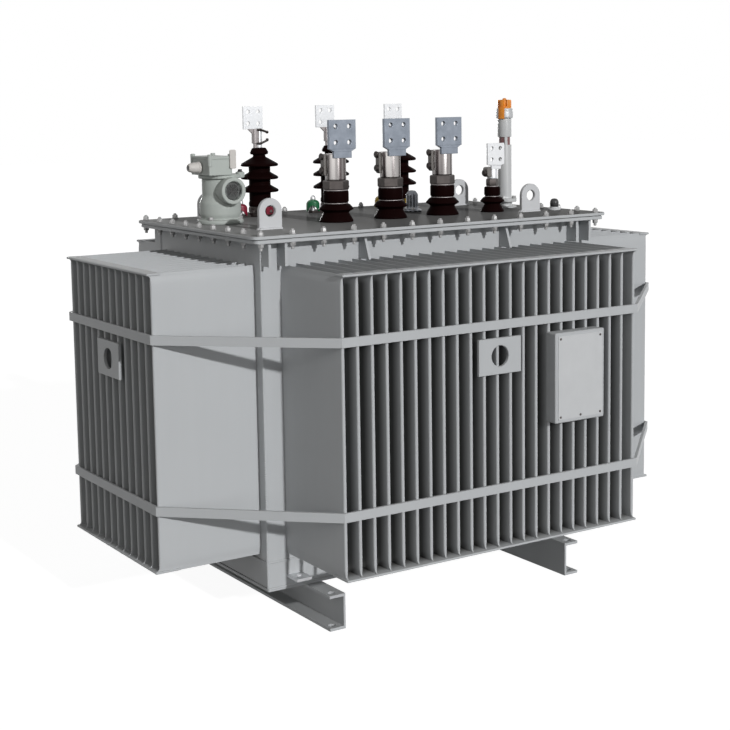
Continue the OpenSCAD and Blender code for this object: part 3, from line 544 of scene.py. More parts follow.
def mouldedMaterial(name, light, dark, gloss=(0.32, 0.45)):
    material, tree, put = newMaterial(name, Specular_IOR_Level=0.5)
    spray = useGroup(tree, sprayGroup, **{"Cloud Size": 60.0, "Peel Size": 1100.0, "Wave": 0.0})
    dressed(tree, put, mixColour(tree, spray["Cloud"], dark, light), spray, gloss, 0.6)
    return material


def glassMaterial(name):
    material, tree, put = newMaterial(name, Transmission_Weight=1.0, IOR=1.45, Metallic=0.0)
    spray = useGroup(tree, sprayGroup, **{"Cloud Size": 30.0, "Wave": 0.0})
    tint = mixColour(tree, spray["Cloud"], (0.80, 0.84, 0.83), (0.90, 0.93, 0.92))
    tree.links.new(tint, put["Base Color"])
    tree.links.new(between(tree, spray["Gloss"], 0.02, 0.07), put["Roughness"])
    return material


tankColours = (0.470, 0.485, 0.498), (0.425, 0.440, 0.452)
finish = {
    "tank": paintMaterial("tankPaint", *tankColours),
    # cover top: painted shade darkens it and its dust, and a painted sheen lightens its left end
    "cover": paintMaterial("coverPaint", (0.182, 0.183, 0.183), (0.140, 0.141, 0.141), gloss=(0.10, 0.18),
                           shine=0.0001, wave=0.35, dust=0.3, dustColour=(0.19, 0.185, 0.17),
                           paintedSheen=(-0.15, -0.60, (0.40, 0.402, 0.402))),
    "lug": paintMaterial("lugPaint", (0.58, 0.59, 0.605), (0.52, 0.53, 0.545), wave=0.3),
    "fitting": paintMaterial("fittingPaint", (0.445, 0.478, 0.455), (0.385, 0.418, 0.395), wave=0.4),
    "tube": paintMaterial("tubePaint", (0.53, 0.54, 0.545), (0.46, 0.47, 0.475), (0.20, 0.30), 0.4, 0.1),
    "strap": paintMaterial("strapPaint", (0.62, 0.60, 0.57), (0.52, 0.50, 0.48), wave=0.2),
    "gasket": mouldedMaterial("gasketRubber", (0.13, 0.13, 0.13), (0.08, 0.08, 0.08), (0.6, 0.8)),
    "porcelain": glazeMaterial("brownGlaze", (0.0095, 0.0030, 0.0030), (0.0045, 0.0018, 0.0018)),
    "tinned": metalMaterial("tinnedCopper", (0.30, 0.33, 0.38), (0.13, 0.15, 0.18), (0.34, 0.5), 0.85, 1.0,
                            34.0),
    "silvered": metalMaterial("silveredFlag", (0.74, 0.75, 0.76), (0.62, 0.63, 0.65), (0.34, 0.48), 0.7),
    "saddle": metalMaterial("dullSaddle", (0.40, 0.37, 0.37), (0.24, 0.22, 0.22), (0.4, 0.55), 0.5),
    # the barrels' light and dark bands are painted reflections
    "barrel": paintedReflectionMaterial("barrelPaintedReflections", (0.52, 0.50, 0.49), (0.10, 0.085, 0.085)),
    "nut": metalMaterial("dullNut", (0.115, 0.102, 0.098), (0.055, 0.048, 0.046), (0.38, 0.55), 0.9),
    "boss": metalMaterial("castBoss", (0.20, 0.19, 0.18), (0.13, 0.12, 0.115), (0.45, 0.6), 0.4),
    "bolt": metalMaterial("dullBolt", (0.42, 0.42, 0.42), (0.28, 0.28, 0.28), (0.38, 0.52), 0.35),
    "plate": metalMaterial("bareMetalPlate", (0.50, 0.51, 0.52), (0.44, 0.45, 0.46), (0.36, 0.5), 0.35, 1.5,
                           20.0),
    "clamp": metalMaterial("darkClamp", (0.075, 0.065, 0.062), (0.022, 0.018, 0.017), (0.4, 0.6), 0.8),
    "orange": mouldedMaterial("orangeCap", (0.76, 0.27, 0.009), (0.58, 0.17, 0.006)),
    "red": mouldedMaterial("redMarker", (0.23, 0.012, 0.035), (0.14, 0.008, 0.02)),
    "green": mouldedMaterial("greenMarker", (0.010, 0.150, 0.055), (0.006, 0.090, 0.032)),
    "yellow": mouldedMaterial("yellowMarker", (0.62, 0.42, 0.05), (0.46, 0.30, 0.03)),
    "black": mouldedMaterial("blackCap", (0.020, 0.020, 0.022), (0.010, 0.010, 0.011), (0.3, 0.5)),
    "hood": metalMaterial("darkHood", (0.20, 0.21, 0.23), (0.10, 0.105, 0.115), (0.18, 0.3), 0.8),
    # near black disc behind the relay's glass: painted shade for the relay's inside
    "shadeDisc": mouldedMaterial("shadeDiscPaint", (0.014, 0.017, 0.017), (0.008, 0.010, 0.010), (0.4, 0.6)),
    "sight": mouldedMaterial("sightTube", (0.24, 0.10, 0.10), (0.12, 0.05, 0.05), (0.15, 0.25)),
    "glass": glassMaterial("windowGlass"),
}
print("finishes made:", len(finish))


# Fin banks: each fin is a flat pocket of sheet, pinched to a seam at head and foot

finLook = {"pitch": 45.0, "thickness": 10.0, "seam": 2.6, "pinch": 30.0, "root": 3.0,
           "lipReach": 11.0, "lipEdge": 6.0, "lipRise": 8.0, "lipInset": 28.0, "footInset": 62.0}


def finShape(height, depth):
    # at each level the section runs out one side, round the tip and back; its half thickness shrinks to the
    # seam within the pinch, and its depth swells along a quarter ellipse to the edge strip
    look = inMetres(finLook)
    # sections lie closer together towards the ends: their distances from an end
    near = np.array([0, 0.0015, 0.004, 0.006, 0.0068, 0.008, 0.010, 0.0125, 0.016, 0.022, 0.030, 0.05])
    levels = np.concatenate([near, [height / 2], height - near[::-1]])
    fromEnd = np.minimum(levels, height - levels)
    swell = np.clip(fromEnd / look["pinch"], 0, 1)
    half = (look["seam"] + (look["thickness"] - look["seam"]) * swell ** 2 * (3 - 2 * swell)) / 2
    rise = np.clip(1 - (fromEnd - look["lipEdge"]) / look["lipRise"], 0, 1)
    reach = depth + look["lipReach"] * (1 - np.sqrt(1 - rise ** 2))
    turn = np.linspace(-np.pi / 2, np.pi / 2, 9)
    tipOut = (reach - half)[:, None] + half[:, None] * np.cos(turn)
    tipAcross = half[:, None] * np.sin(turn)
    rootOut = np.full((len(levels), 1), -look["root"])
    out = np.concatenate([rootOut, tipOut, rootOut], 1)
    across = np.concatenate([-half[:, None], tipAcross, half[:, None]], 1)
    return skin(np.stack([across, -out, levels[:, None] + 0 * out], -1))


def edgeStrip(span, depth, low, inset):
    # a bar with soft edges along the fin tips, reaching in by the inset
    look = inMetres(finLook)
    section = rectangle(look["lipReach"] + look[inset], look["lipEdge"], 2.2 * mm, 3)
    bar = aimed(slab(section, -span / 2, span / 2, 1.2 * mm), "x")
    return moved(bar, 0, -depth - (look["lipReach"] - look[inset]) / 2, low + look["lipEdge"] / 2)


def finBank(name, node, wall, degrees):
    look = inMetres(finLook)
    low, high, middle = corners(node)
    size = high - low
    wallLow, wallHigh, _ = corners(wall)
    along = 0 if degrees % 180 == 0 else 1
    out = 1 - along
    wallFace = wallLow[out] if middle[out] < 0 else wallHigh[out]
    depth = size[out] - look["lipReach"]
    span, height = size[along], size[2]
    count = int(round((span - look["thickness"]) / look["pitch"])) + 1
    fin = finShape(height, depth)
    places = (np.arange(count) - (count - 1) / 2) * look["pitch"]
    shapes = [moved(fin, place) for place in places]
    shapes += [edgeStrip(span, depth, 0, "footInset"),
               edgeStrip(span, depth, height - look["lipEdge"], "lipInset")]
    bank = moved(spun(moved(joined(shapes), 0, -abs(wallFace), 0), degrees), 0, 0, low[2])
    # painted shade deep between the fins, from the tips' reach, the bank's ends and its top
    finShade = "XYZ"[out], "XYZ"[along], abs(wallFace) + depth, span / 2 - look["thickness"], high[2]
    paint = paintMaterial(name + "Paint", *tankColours, wave=0.1, finShade=finShade)
    makePiece(name, [bank], paint, [node])


for name, node, wall, degrees in (("frontFinBank", "front_fins", "front_wall", 0),
                                  ("backFinBank", "back_fins", "back_wall", 180),
                                  ("leftFinBank", "left_fins", "left_wall", -90),
                                  ("rightFinBank", "right_fins", "right_wall", 90)):
    finBank(name, node, wall, degrees)
print("fin banks made")


# Cover, gasket and rim: plates with rounded corners and softened edges

rimLook = {"corner": 22.0, "bevel": 1.2, "sheet": 0.4, "rimCorner": 18.0, "sealCorner": 15.0}


def plateLine(low, high, radius):
    return rectangle(high[0] - low[0], high[1] - low[1], radius, 6)


def makeRim():
    look = inMetres(rimLook)
    low, high, _ = corners("tank_cover")
    line, sheet = plateLine(low, high, look["corner"]), high[2] - look["sheet"]
    makePiece("coverPlate", [slab(line, low[2], sheet, look["bevel"])], finish["tank"],
              ["tank_cover"])
    # the top sheet carries the cover's painted shade and painted sheen
    makePiece("coverFace", [slab(shrunk(line, look["bevel"]), sheet, high[2], look["sheet"] / 4)],
              finish["cover"])
    inner = plateLine(corners("front_wall")[0], corners("back_wall")[1], look["corner"] / 2)
    rings = (("rimRing", "rim_flange", "rimCorner", "tank", "tank_paint"),
             ("coverSeal", "cover_gasket", "sealCorner", "gasket", "gasket"))
    for name, node, corner, paint, slotName in rings:
        low, high, _ = corners(node)
        ring = pierced(plateLine(low, high, look[corner]), inner, low[2], high[2], (high[2] - low[2]) / 8)
        makePiece(name, [ring], finish[paint], [node])


makeRim()

coverBoltLook = {"inset": 11.0, "endInset": 26.0, "longCount": 13, "longEnd": 32.0, "longShift": -6.0,
                 "shortCount": 7, "shortEnd": 108.0, "head": 14.0, "headHeight": 8.5, "washer": 18.0,
                 "washerHeight": 2.2, "stud": 9.0, "studEnd": 4.0, "studBelow": 8.0}


def coverBoltPlaces(low, high):
    # rows of even steps along the four edges, as far in as the insets
    look, counts = inMetres(coverBoltLook), coverBoltLook
    longRow = np.linspace(low[0] + look["longEnd"], high[0] - look["longEnd"], counts["longCount"])
    longRow = longRow + look["longShift"]
    shortRow = np.linspace(low[1] + look["shortEnd"], high[1] - look["shortEnd"], counts["shortCount"])
    rows = [np.stack([longRow, np.full_like(longRow, y)], 1)
            for y in (low[1] + look["inset"], high[1] - look["inset"])]
    rows += [np.stack([np.full_like(shortRow, x), shortRow], 1)
             for x in (low[0] + look["endInset"], high[0] - look["endInset"])]
    return np.concatenate(rows)


def makeCoverBolts():
    look = inMetres(coverBoltLook)
    low, high, _ = corners("tank_cover")
    under = corners("rim_flange")[0][2]
    top = look["washerHeight"] + look["headHeight"]
    head = boltHead(look["head"], look["headHeight"], look["washer"], look["washerHeight"])
    bolt, below = (joined([head, slab(circle(look["stud"] / 2, 10), 0, top + look[end], 1 * mm)])
                   for end in ("studEnd", "studBelow"))
    below = aimed(below, "-z")
    shapes = []
    for place in coverBoltPlaces(low, high):
        twist = dice.uniform(0, 60)
        shapes.append(moved(spun(bolt, twist), *place, high[2]))
        shapes.append(moved(spun(below, twist + 17), *place, under))
    makePiece("coverBolts", shapes, finish["bolt"])


makeCoverBolts()
print("cover and bolts made")


# Lifting lugs: a plate with a round head and a hole, welded to the cover

lugLook = {"width": 72.0, "height": 86.0, "thickness": 13.0, "hole": 32.0, "bevel": 1.6, "weld": 5.0}
weldLook = {"step": 3.0, "ripple": 0.13, "wave": 6.0, "unevenness": 0.05, "sides": 8, "bead": 3.4,
            "endShare": 0.45, "skirtDrop": 18.0}


def lugShape():
    # seen from the hole the outline is an arc above and a rectangle below
    look = inMetres(lugLook)
    radius = look["width"] / 2
    down = look["height"] - radius
    foot = np.arctan2(-down, radius)
    angles = np.sort(np.concatenate([np.linspace(0, np.pi, 33), np.linspace(np.pi, 2 * np.pi, 33)[1:-1],
                                     [np.pi - foot, 2 * np.pi + foot]]))
    box = aroundHole(angles, radius, radius, radius, down)
    outer = np.where((angles <= np.pi)[:, None], onCircle(angles, radius), box)
    inner = onCircle(angles, look["hole"] / 2)
    plate = pierced(outer, inner, -look["thickness"] / 2, look["thickness"] / 2, look["bevel"])
    return moved(aimed(plate, "-y"), 0, 0, down)


def boxWelds(low, high, height, radius):
    # beads along the four sides of a rectangle on a level face
    points = [(low[0], low[1]), (high[0], low[1]), (high[0], high[1]), (low[0], high[1])]
    return [weldBead((*a, height), (*b, height), radius) for a, b in zip(points, points[1:] + points[:1])]


def makeLugs():
    low, high, _ = corners("lifting_lugs")
    halfWidth, halfThick = lugLook["width"] / 2 * mm, lugLook["thickness"] / 2 * mm
    shapes = []
    for x in (low[0] + halfWidth, high[0] - halfWidth):
        for y in (low[1] + halfThick, high[1] - halfThick):
            shapes.append(moved(lugShape(), x, y, low[2]))
            shapes += boxWelds((x - halfWidth, y - halfThick), (x + halfWidth, y + halfThick), low[2],
                               lugLook["weld"] * mm)
    makePiece("liftingLugs", shapes, finish["lug"], ["lifting_lugs"])


makeLugs()


# Welds on the tank: round the foot, the skirt and the head of the walls, and up the four corners

def makeTankWelds():
    bead = weldLook["bead"] * mm
    low, high = corners("front_wall")[0], corners("back_wall")[1]
    finFoot = corners("front_fins")[0][2]
    shapes = []
    for height in (low[2], finFoot - weldLook["skirtDrop"] * mm):
        shapes += boxWelds((low[0], low[1]), (high[0], high[1]), height, bead)
    for x in (low[0], high[0]):
        for y in (low[1], high[1]):
            shapes.append(weldBead((x, y, low[2]), (x, y, high[2]), bead))
    shapes += boxWelds((low[0], low[1]), (high[0], high[1]), high[2], bead)
    makePiece("tankWelds", shapes, finish["tank"])


makeTankWelds()


# Lashing plates: a rectangle around a large hole, on the fin tips

lashingLook = {"width": 144.0, "height": 100.0, "thickness": 10.0, "hole": 58.0, "bevel": 1.2}


def makeLashingPlates():
    look = inMetres(lashingLook)
    low, high, middle = corners("lashing_plates")
    plate = holedPlate(look["width"] / 2, look["width"] / 2, look["height"] / 2, look["height"] / 2,
                       look["hole"] / 2, 0, look["thickness"], look["bevel"], 64)
    plate = aimed(plate, "-y")
    shapes = []
    for degrees, reach in ((0, -low[1]), (90, high[0]), (180, high[1]), (-90, -low[0])):
        shapes.append(spun(moved(plate, 0, look["thickness"] - reach, middle[2]), degrees))
    makePiece("lashingPlates", shapes, finish["tank"], ["lashing_plates"])


makeLashingPlates()


# Name plate: a folded bracket, a bare metal plate and its screws

namePlateLook = {"corner": 5.0, "bevel": 2.5, "sheet": 3.0, "plateCorner": 4.0, "plateBevel": 0.5,
                 "screw": 7.0, "screwInset": 8.0}


def makeNamePlate():
    look = inMetres(namePlateLook)
    low, high, middle = corners("name_plate_bracket")
    line = rectangle(high[0] - low[0], high[2] - low[2], look["corner"], 4)
    front, inside = high[1] - low[1], shrunk(line, look["sheet"])
    rings = [level(shrunk(line, look["bevel"]), front), level(line, front - look["bevel"]), level(line, 0.0),
             level(inside, 0.0), level(inside, front - look["sheet"])]
    tray = moved(aimed(skin(rings), "-y"), middle[0], high[1], middle[2])
    makePiece("namePlateBracket", [tray], finish["tank"], ["name_plate_bracket"])
    low, high, middle = corners("rating_plate")
    line = rectangle(high[0] - low[0], high[2] - low[2], look["plateCorner"], 4)
    plate = aimed(slab(line, 0, high[1] - low[1], look["plateBevel"]), "-y")
    plate = moved(plate, middle[0], high[1], middle[2])
    makePiece("ratingPlate", [plate], finish["plate"], ["rating_plate"])
    radius, inset = look["screw"] / 2, look["screwInset"]
    head = turnedOn([(0, 0), (radius, 0), (radius, 0.8 * mm), (radius / 2, 2.2 * mm), (0, 2.6 * mm)], 14)
    left, right, foot, top = low[0] + inset, high[0] - inset, low[2] + inset, high[2] - inset
    spots = [(left, foot), (right, foot), (left, top), (right, top), (middle[0], foot)]
    screws = [moved(aimed(head, "-y"), x, low[1], z) for x, z in spots]
    makePiece("plateScrews", screws, finish["nut"])


makeNamePlate()
print("lugs, welds and plates made")


# High-voltage bushings: shedded porcelain, clamp ring, stem with its grip, flag and phase marker

hvLook = {"body": 66.0, "shed": 115.0, "firstShed": 49.0, "shedPitch": 39.3, "sheds": 3, "slope": 0.57,
          "neck": 38.0, "cap": 56.0, "capFoot": 157.0, "top": 178.0}


def hvProfile():
    # body, then for each shed a level underside, a round tip and a straight slope, then the neck and the cap
    look = inMetres(hvLook)
    body, rim, neck, cap = (look[key] / 2 for key in ("body", "shed", "neck", "cap"))
    rows = [(0, 0), (body * 1.06, 0), (body * 1.06, 0.012), (body, 0.016)]
    for i in range(hvLook["sheds"]):
        tip = look["firstShed"] + i * look["shedPitch"]
        inner = body if i < hvLook["sheds"] - 1 else neck
        slopeTop = tip + 0.0030 + (rim - 0.003 - inner) * hvLook["slope"]
        rows += [(body, tip - 0.0070), (rim - 0.003, tip - 0.0060), (rim, tip - 0.0035), (rim, tip + 0.0003),
                 (rim - 0.003, tip + 0.0030), (inner, slopeTop)]
    foot, top = look["capFoot"], look["top"]
    rows += [(neck, foot), (cap - 0.002, foot + 0.001), (cap, foot + 0.005), (cap - 0.0005, foot + 0.009),
             (cap - 0.0065, top - 0.0015), (cap - 0.010, top), (0, top)]
    return softened(rows, 0.0022, 3, closed=False)


hvClampLook = {"ring": 84.0, "ringHeight": 32.0, "step": 6.0, "stepHeight": 12.0, "earReach": 69.0,
               "ear": 24.0, "earHeight": 8.0, "stud": 12.0, "studTop": 30.0, "boltIn": 3.5}


def hvClampShape():
    # a turned foot ring with a rounded shoulder, an ear to the left, clamp bolts and the marker's stud
    look = inMetres(hvClampLook)
    ring, top, step = look["ring"] / 2, look["ringHeight"], look["stepHeight"]
    upper = ring - look["step"]
    collar = lathe([(0, 0), (ring, 0), (ring, step), (upper, step + 0.002), (upper, top - 0.004),
                    (upper - 0.004, top), (0, top)], 0.002)
    earLength = look["earReach"] + look["ear"] / 2
    ear = slab(rectangle(earLength, look["ear"], 0.010), 0, look["earHeight"], 0.0015)
    ear = moved(ear, -earLength / 2)
    bolts = boltCircle("clamp", ring - look["boltIn"], step)
    stud = moved(rod(look["stud"] / 2, look["studTop"], 0.001, 16), -look["earReach"])
    return joined([collar, ear] + bolts), stud


flagLook = {"edge": 0.9}


def fourHoleFlag(width, height, thickness, across, up, hole):
    # four mirrored cells, each a rectangle around its hole: front, back and hole wall, then the outer edge
    right, left = width / 2 - across / 2, across / 2
    above, below = height / 2 - up / 2, up / 2
    turns = np.arctan2([above, above, -below, -below], [right, -left, -left, right]) % (2 * np.pi)
    angles = np.unique(np.concatenate([fullTurn(32), turns]).round(9))
    centre = np.array([across / 2, up / 2])
    outer = aroundHole(angles, right, left, above, below) + centre
    inner = onCircle(angles, hole / 2) + centre
    half = thickness / 2
    cell = skin([level(outer, -half), level(inner, -half), level(inner, half), level(outer, half)],
                ends=False)
    onEdge = (np.abs(outer[:, 0] - width / 2) < 1e-7) | (np.abs(outer[:, 1] - height / 2) < 1e-7)
    index = np.arange(len(angles))
    beside = np.roll(index, -1)
    rim = onEdge & onEdge[beside]
    index, beside = index[rim], beside[rim]
    last = 3 * len(angles)
    cell = cell[0], np.concatenate([cell[1], np.stack([index, beside, beside + last, index + last], 1)])
    cells = [(cell[0] * [sx, sy, 1], cell[1]) for sx in (1, -1) for sy in (1, -1)]
    return aimed(joined(cells), "-y")


def flagFrom(look):                 # a terminal's flag, from the sizes in the terminal's dictionary
    keys = "flagWidth", "flagHeight", "flagThick", "across", "up", "hole"
    return fourHoleFlag(*(look[key] for key in keys))


def rootPlate(topWidth, footWidth, height, thickness, shift=0.0):
    # the plate between a clamp and its flag, wide at the flag and narrow at the clamp
    foot, top = footWidth / 2, topWidth / 2
    line = np.array([[shift - foot, -height], [shift + foot, -height], [top, 0], [-top, 0]])
    return aimed(slab(line, -thickness / 2, thickness / 2), "-y")


hvTerminalLook = {"stem": 20.0, "stemTop": 57.0, "saddleLeft": 21.0, "saddleWide": 20.0, "saddleDeep": 19.0,
                  "saddleFoot": 13.0, "hook": 7.0, "hookOut": 12.5, "hookEnd": 25.0, "hookNut": 9.0,
                  "hookDrop": 2.0, "hookDropEnd": 11.0, "hookLift": 10.0,
                  "rootTop": 46.0, "rootFoot": 20.0, "rootHeight": 16.0, "rootShift": 4.0, "rootLeft": 14.5,
                  "flagWidth": 66.0, "flagHeight": 69.0, "flagThick": 8.0, "lead": 13.0, "across": 34.0,
                  "up": 36.0, "hole": 13.0}


def hvTerminalShapes():
    # a stem, a saddle at its left that carries the flag, and two slanting hooks that hold the stem
    look = inMetres(hvTerminalLook)
    stemTop, saddleFoot, wide, deep = (
        look[key] for key in ("stemTop", "saddleFoot", "saddleWide", "saddleDeep"))
    stem = rod(look["stem"] / 2, stemTop + 0.004, 0.0008)
    saddle = slab(rectangle(wide, deep, 0.004, 3), saddleFoot, stemTop, 0.001)
    foot = slab(rectangle(wide * 0.55, deep * 0.6, 0.002, 3), 0, saddleFoot + 0.001)
    saddleX = wide / 2 - look["saddleLeft"]
    hooks = []
    for start, end in ((stemTop - look["hookDrop"], stemTop - look["hookDropEnd"]),
                       (saddleFoot, saddleFoot + look["hookLift"])):
        y = -look["hookOut"]
        path = [(saddleX, y, start), (0, y, start), (look["hookEnd"], y, end)]
        hooks.append(bentRod(path, look["hook"] / 2))
        nut = aimed(rod(look["hookNut"] / 2, 0.007, 0.001, 10), "x")
        hooks.append(moved(nut, look["hookEnd"] - 0.006, y, end + 0.001))
        # a dark bar at the saddle's side by each hook, painted shade under the jaw's edge; the hooks are
        # real bolts
        bar = slab(rectangle(0.006, 2 * look["hookOut"], 0.002, 2), start - 0.004, start + 0.004, 0.001)
        hooks.append(moved(bar, saddleX + wide / 2))
    middle = look["lead"] - look["flagWidth"] / 2
    flag = moved(flagFrom(look), middle, 0, stemTop + look["flagHeight"] / 2)
    root = rootPlate(look["rootTop"], look["rootFoot"], look["rootHeight"], look["flagThick"] * 0.98,
                     look["rootShift"])
    root = moved(root, -look["rootLeft"], 0, stemTop + 0.0004)
    return [flag, stem], [root, moved(saddle, saddleX), moved(foot, saddleX - 0.001)], hooks


markerLook = {"radius": 21.0, "height": 38.0, "wall": 2.6, "lobe": 20.0, "hang": 8.0,
              "tabIn": 35.0, "tabOut": 43.5, "tabLow": 8.0, "tabHigh": 31.0}
markerTurns = {"marker": -33.0, "tab": -61.0, "tabSpan": 66.0}      # degrees


def markerShape():
    # a bell whose lower edge hangs in two lobes: the foot of each line follows the cosine of twice the angle
    look = inMetres(markerLook)
    turn, rise = fullTurn(40), np.linspace(0, 1, 14)[:, None]
    foot = look["lobe"] * (0.5 - 0.5 * np.cos(2 * turn))
    crown = np.clip((rise - 0.55) / 0.45, 0, 1)
    radius = look["radius"] * np.sqrt(np.clip(1 - 0.92 * crown ** 2, 0.05, 1))
    radius = radius * (0.94 + 0.06 * np.cos(2 * turn))
    height = foot + (look["height"] - foot) * (rise * 0.75 + 0.25 * np.sin(rise * np.pi / 2))
    outside = np.stack([radius * np.cos(turn), radius * np.sin(turn), height], -1)
    thin = (radius[:7] - look["wall"]) / radius[:7]
    inside = outside[:7] * np.stack([thin, thin, np.ones_like(thin)], -1)
    return spun(skin(np.concatenate([inside[::-1], outside])), markerTurns["marker"])


def markerTab():
    # a coloured tab on the foot ring, part of a tube's wall
    sizes = (markerLook[key] * mm for key in ("tabIn", "tabOut", "tabLow", "tabHigh"))
    return wallSector(*sizes, markerTurns["tab"], markerTurns["tabSpan"])


def acornNut():                     # a round nut with a domed top
    rows = [(0, 0), (0.0085, 0), (0.0085, 0.006), (0.0065, 0.011), (0.003, 0.014), (0, 0.015)]
    return lathe(rows, 0.002, 3, 18)


def makeHvBushings():
    profile = hvProfile()
    clamps, acorns, saddles, hooks = [], [], [], []
    for place, colour in (("left", "red"), ("middle", "green"), ("right", "yellow")):
        low, _, middle = corners("hv_bushing_" + place)
        x, y = middle[0], middle[1]
        makePiece("hvPorcelain_" + place, [moved(turnedOn(profile, 64), x, y, low[2])], finish["porcelain"],
                  ["hv_bushing_" + place], crease=50)
        stemLow = corners("hv_terminal_" + place)[0][2]
        flag, saddle, hook = (placed(group, x, y, stemLow) for group in hvTerminalShapes())
        makePiece("hvFlag_" + place, flag, finish["silvered"], ["hv_terminal_" + place],
                  bevel=flagLook["edge"] * mm)
        saddles += saddle
        hooks += hook
        clampLow = corners("hv_clamps")[0][2]
        clamp, stud = hvClampShape()
        clamps.append(moved(clamp, x, y, clampLow))
        acorns.append(moved(stud, x, y, clampLow))
        capLow, capHigh, cap = corners("marker_cap_" + place)
        marker = moved(markerShape(), cap[0], cap[1], capLow[2] - markerLook["hang"] * mm)
        makePiece("phaseMarker_" + place, [marker, moved(markerTab(), x, y, clampLow)], finish[colour],
                  ["marker_cap_" + place], crease=50)
        acorns.append(moved(acornNut(), cap[0], cap[1], capHigh[2] - 0.001))
    makePiece("hvSaddles", saddles, finish["saddle"])
    makePiece("hvHooksAndShadeBars", hooks, finish["clamp"])
    makePiece("hvClampRings", clamps, finish["clamp"], ["hv_clamps"])
    makePiece("markerNuts", acorns, finish["silvered"])


makeHvBushings()
print("high-voltage bushings made")


# Low-voltage and neutral bushings: skirted porcelain, nut, clamp barrel and flag

def skirtProfile(foot, waist, rim, skirt, drum, top):
    # a flared foot, a bell with a straight slope over a thin rim, and a drum with a shoulder
    rows = [(0, 0), (foot - 0.003, 0), (foot - 0.001, 0.002), (foot - 0.002, rim),
            (drum * 1.01, waist - 0.003), (drum * 1.02, waist - 0.001), (foot - 0.004, waist + 0.8 * rim),
            (foot, waist + 1.1 * rim), (foot - 0.001, waist + 1.6 * rim), (drum + 0.003, skirt - 0.003),
            (drum - 0.003, skirt - 0.001), (drum - 0.003, skirt + 0.0025), (drum, skirt + 0.005),
            (drum, top - 0.003), (drum - 0.003, top), (0, top)]
    return softened(rows, 0.0022, 3, closed=False)


lvLook = {"foot": 51.0, "waist": 30.0, "rim": 6.0, "skirt": 54.0, "drum": 37.0, "top": 91.0, "sealLine": 1.6,
          "nut": 66.0, "nutHeight": 30.0, "barrel": 61.0, "barrelHeight": 77.0,
          "boss": 37.0, "bossDeep": 19.0, "bossBack": 13.0, "headLow": 58.5, "headHigh": 98.5, "head": 20.0,
          "neck": 60.0, "neckHeight": 13.0, "neckDrop": 13.0, "flagWidth": 90.0, "flagHeight": 84.0,
          "flagThick": 12.0, "shift": 7.0, "across": 46.0, "up": 46.0, "hole": 14.0}
neutralLook = {"foot": 38.0, "waist": 27.0, "rim": 5.0, "skirt": 48.0, "drum": 25.0, "top": 78.0,
               "sealLine": 1.4, "nut": 33.0, "nutHeight": 24.0, "barrel": 32.0, "barrelHeight": 38.0,
               "boss": 27.0, "bossDeep": 24.0, "bossBack": 0.0, "headLow": 43.0, "headHigh": 43.0,
               "head": 20.0, "neck": 36.0, "neckHeight": 6.0, "neckDrop": 8.0, "flagWidth": 64.0,
               "flagHeight": 66.0, "flagThick": 8.0, "shift": 4.0, "across": 32.0, "up": 34.0, "hole": 12.0}
clampShares = {"nutFoot": 0.95, "nutTop": 0.92, "bossIn": 0.3, "bossFoot": 0.16, "bossRound": 0.45,
               "headLength": 0.36, "rootWidth": 0.98, "rootHeight": 0.6, "rootThick": 0.98,
               "neckThick": 0.97, "neckLap": 0.55}      # parts of the sizes above


def terminalShapes(look):
    # from the porcelain's top: a hexagon nut, a barrel with a boss and round heads at its left, the flag
    line, share = hexagon(look["nut"]), clampShares
    foot, top = look["nutHeight"], look["nutHeight"] + look["barrelHeight"]
    nut = spun(skin([level(line * share["nutFoot"], 0.003), level(line, 0.005), level(line, foot - 0.003),
                     level(line * share["nutTop"], foot)]), 30)
    radius = look["barrel"] / 2
    barrel = lathe([(0, foot - 0.001), (radius - 0.002, foot - 0.001), (radius, foot + 0.002),
                    (radius, top - 0.003), (radius - 0.003, top), (0, top)], 0.0015, 3, 64)
    reach, inner = look["boss"], radius * share["bossIn"]
    low, high = foot + look["barrelHeight"] * share["bossFoot"], top - 0.001
    side = softened([[-reach, low], [-inner, low], [-inner, high], [-reach, high]],
                    look["head"] * share["bossRound"])
    boss = aimed(slab(side, -look["bossDeep"] / 2, look["bossDeep"] / 2, 0.001), "-y")
    head = aimed(rod(look["head"] / 2, look["head"] * share["headLength"], 0.002, 24), "-x")
    heads = [moved(head, -reach, look["bossBack"], look[key]) for key in ("headLow", "headHigh")]
    thick, flagFoot = look["flagThick"], top + look["neckHeight"]
    flagX, flagY = look["shift"], (thick - look["barrel"]) / 2
    shoulder = rootPlate(look["flagWidth"] * share["rootWidth"], look["neck"],
                         look["neckHeight"] * share["rootHeight"], thick * share["rootThick"])
    neck = slab(rectangle(look["neck"], thick * share["neckThick"]), top - look["neckDrop"],
                flagFoot - look["neckHeight"] * share["neckLap"], 0.0008)
    flag = [moved(flagFrom(look), flagX, flagY, flagFoot + look["flagHeight"] / 2),
            moved(shoulder, flagX, flagY, flagFoot + 0.0005), moved(neck, flagX, flagY - 0.0012)]
    return nut, barrel, moved(boss, 0, look["bossBack"]), heads, flag


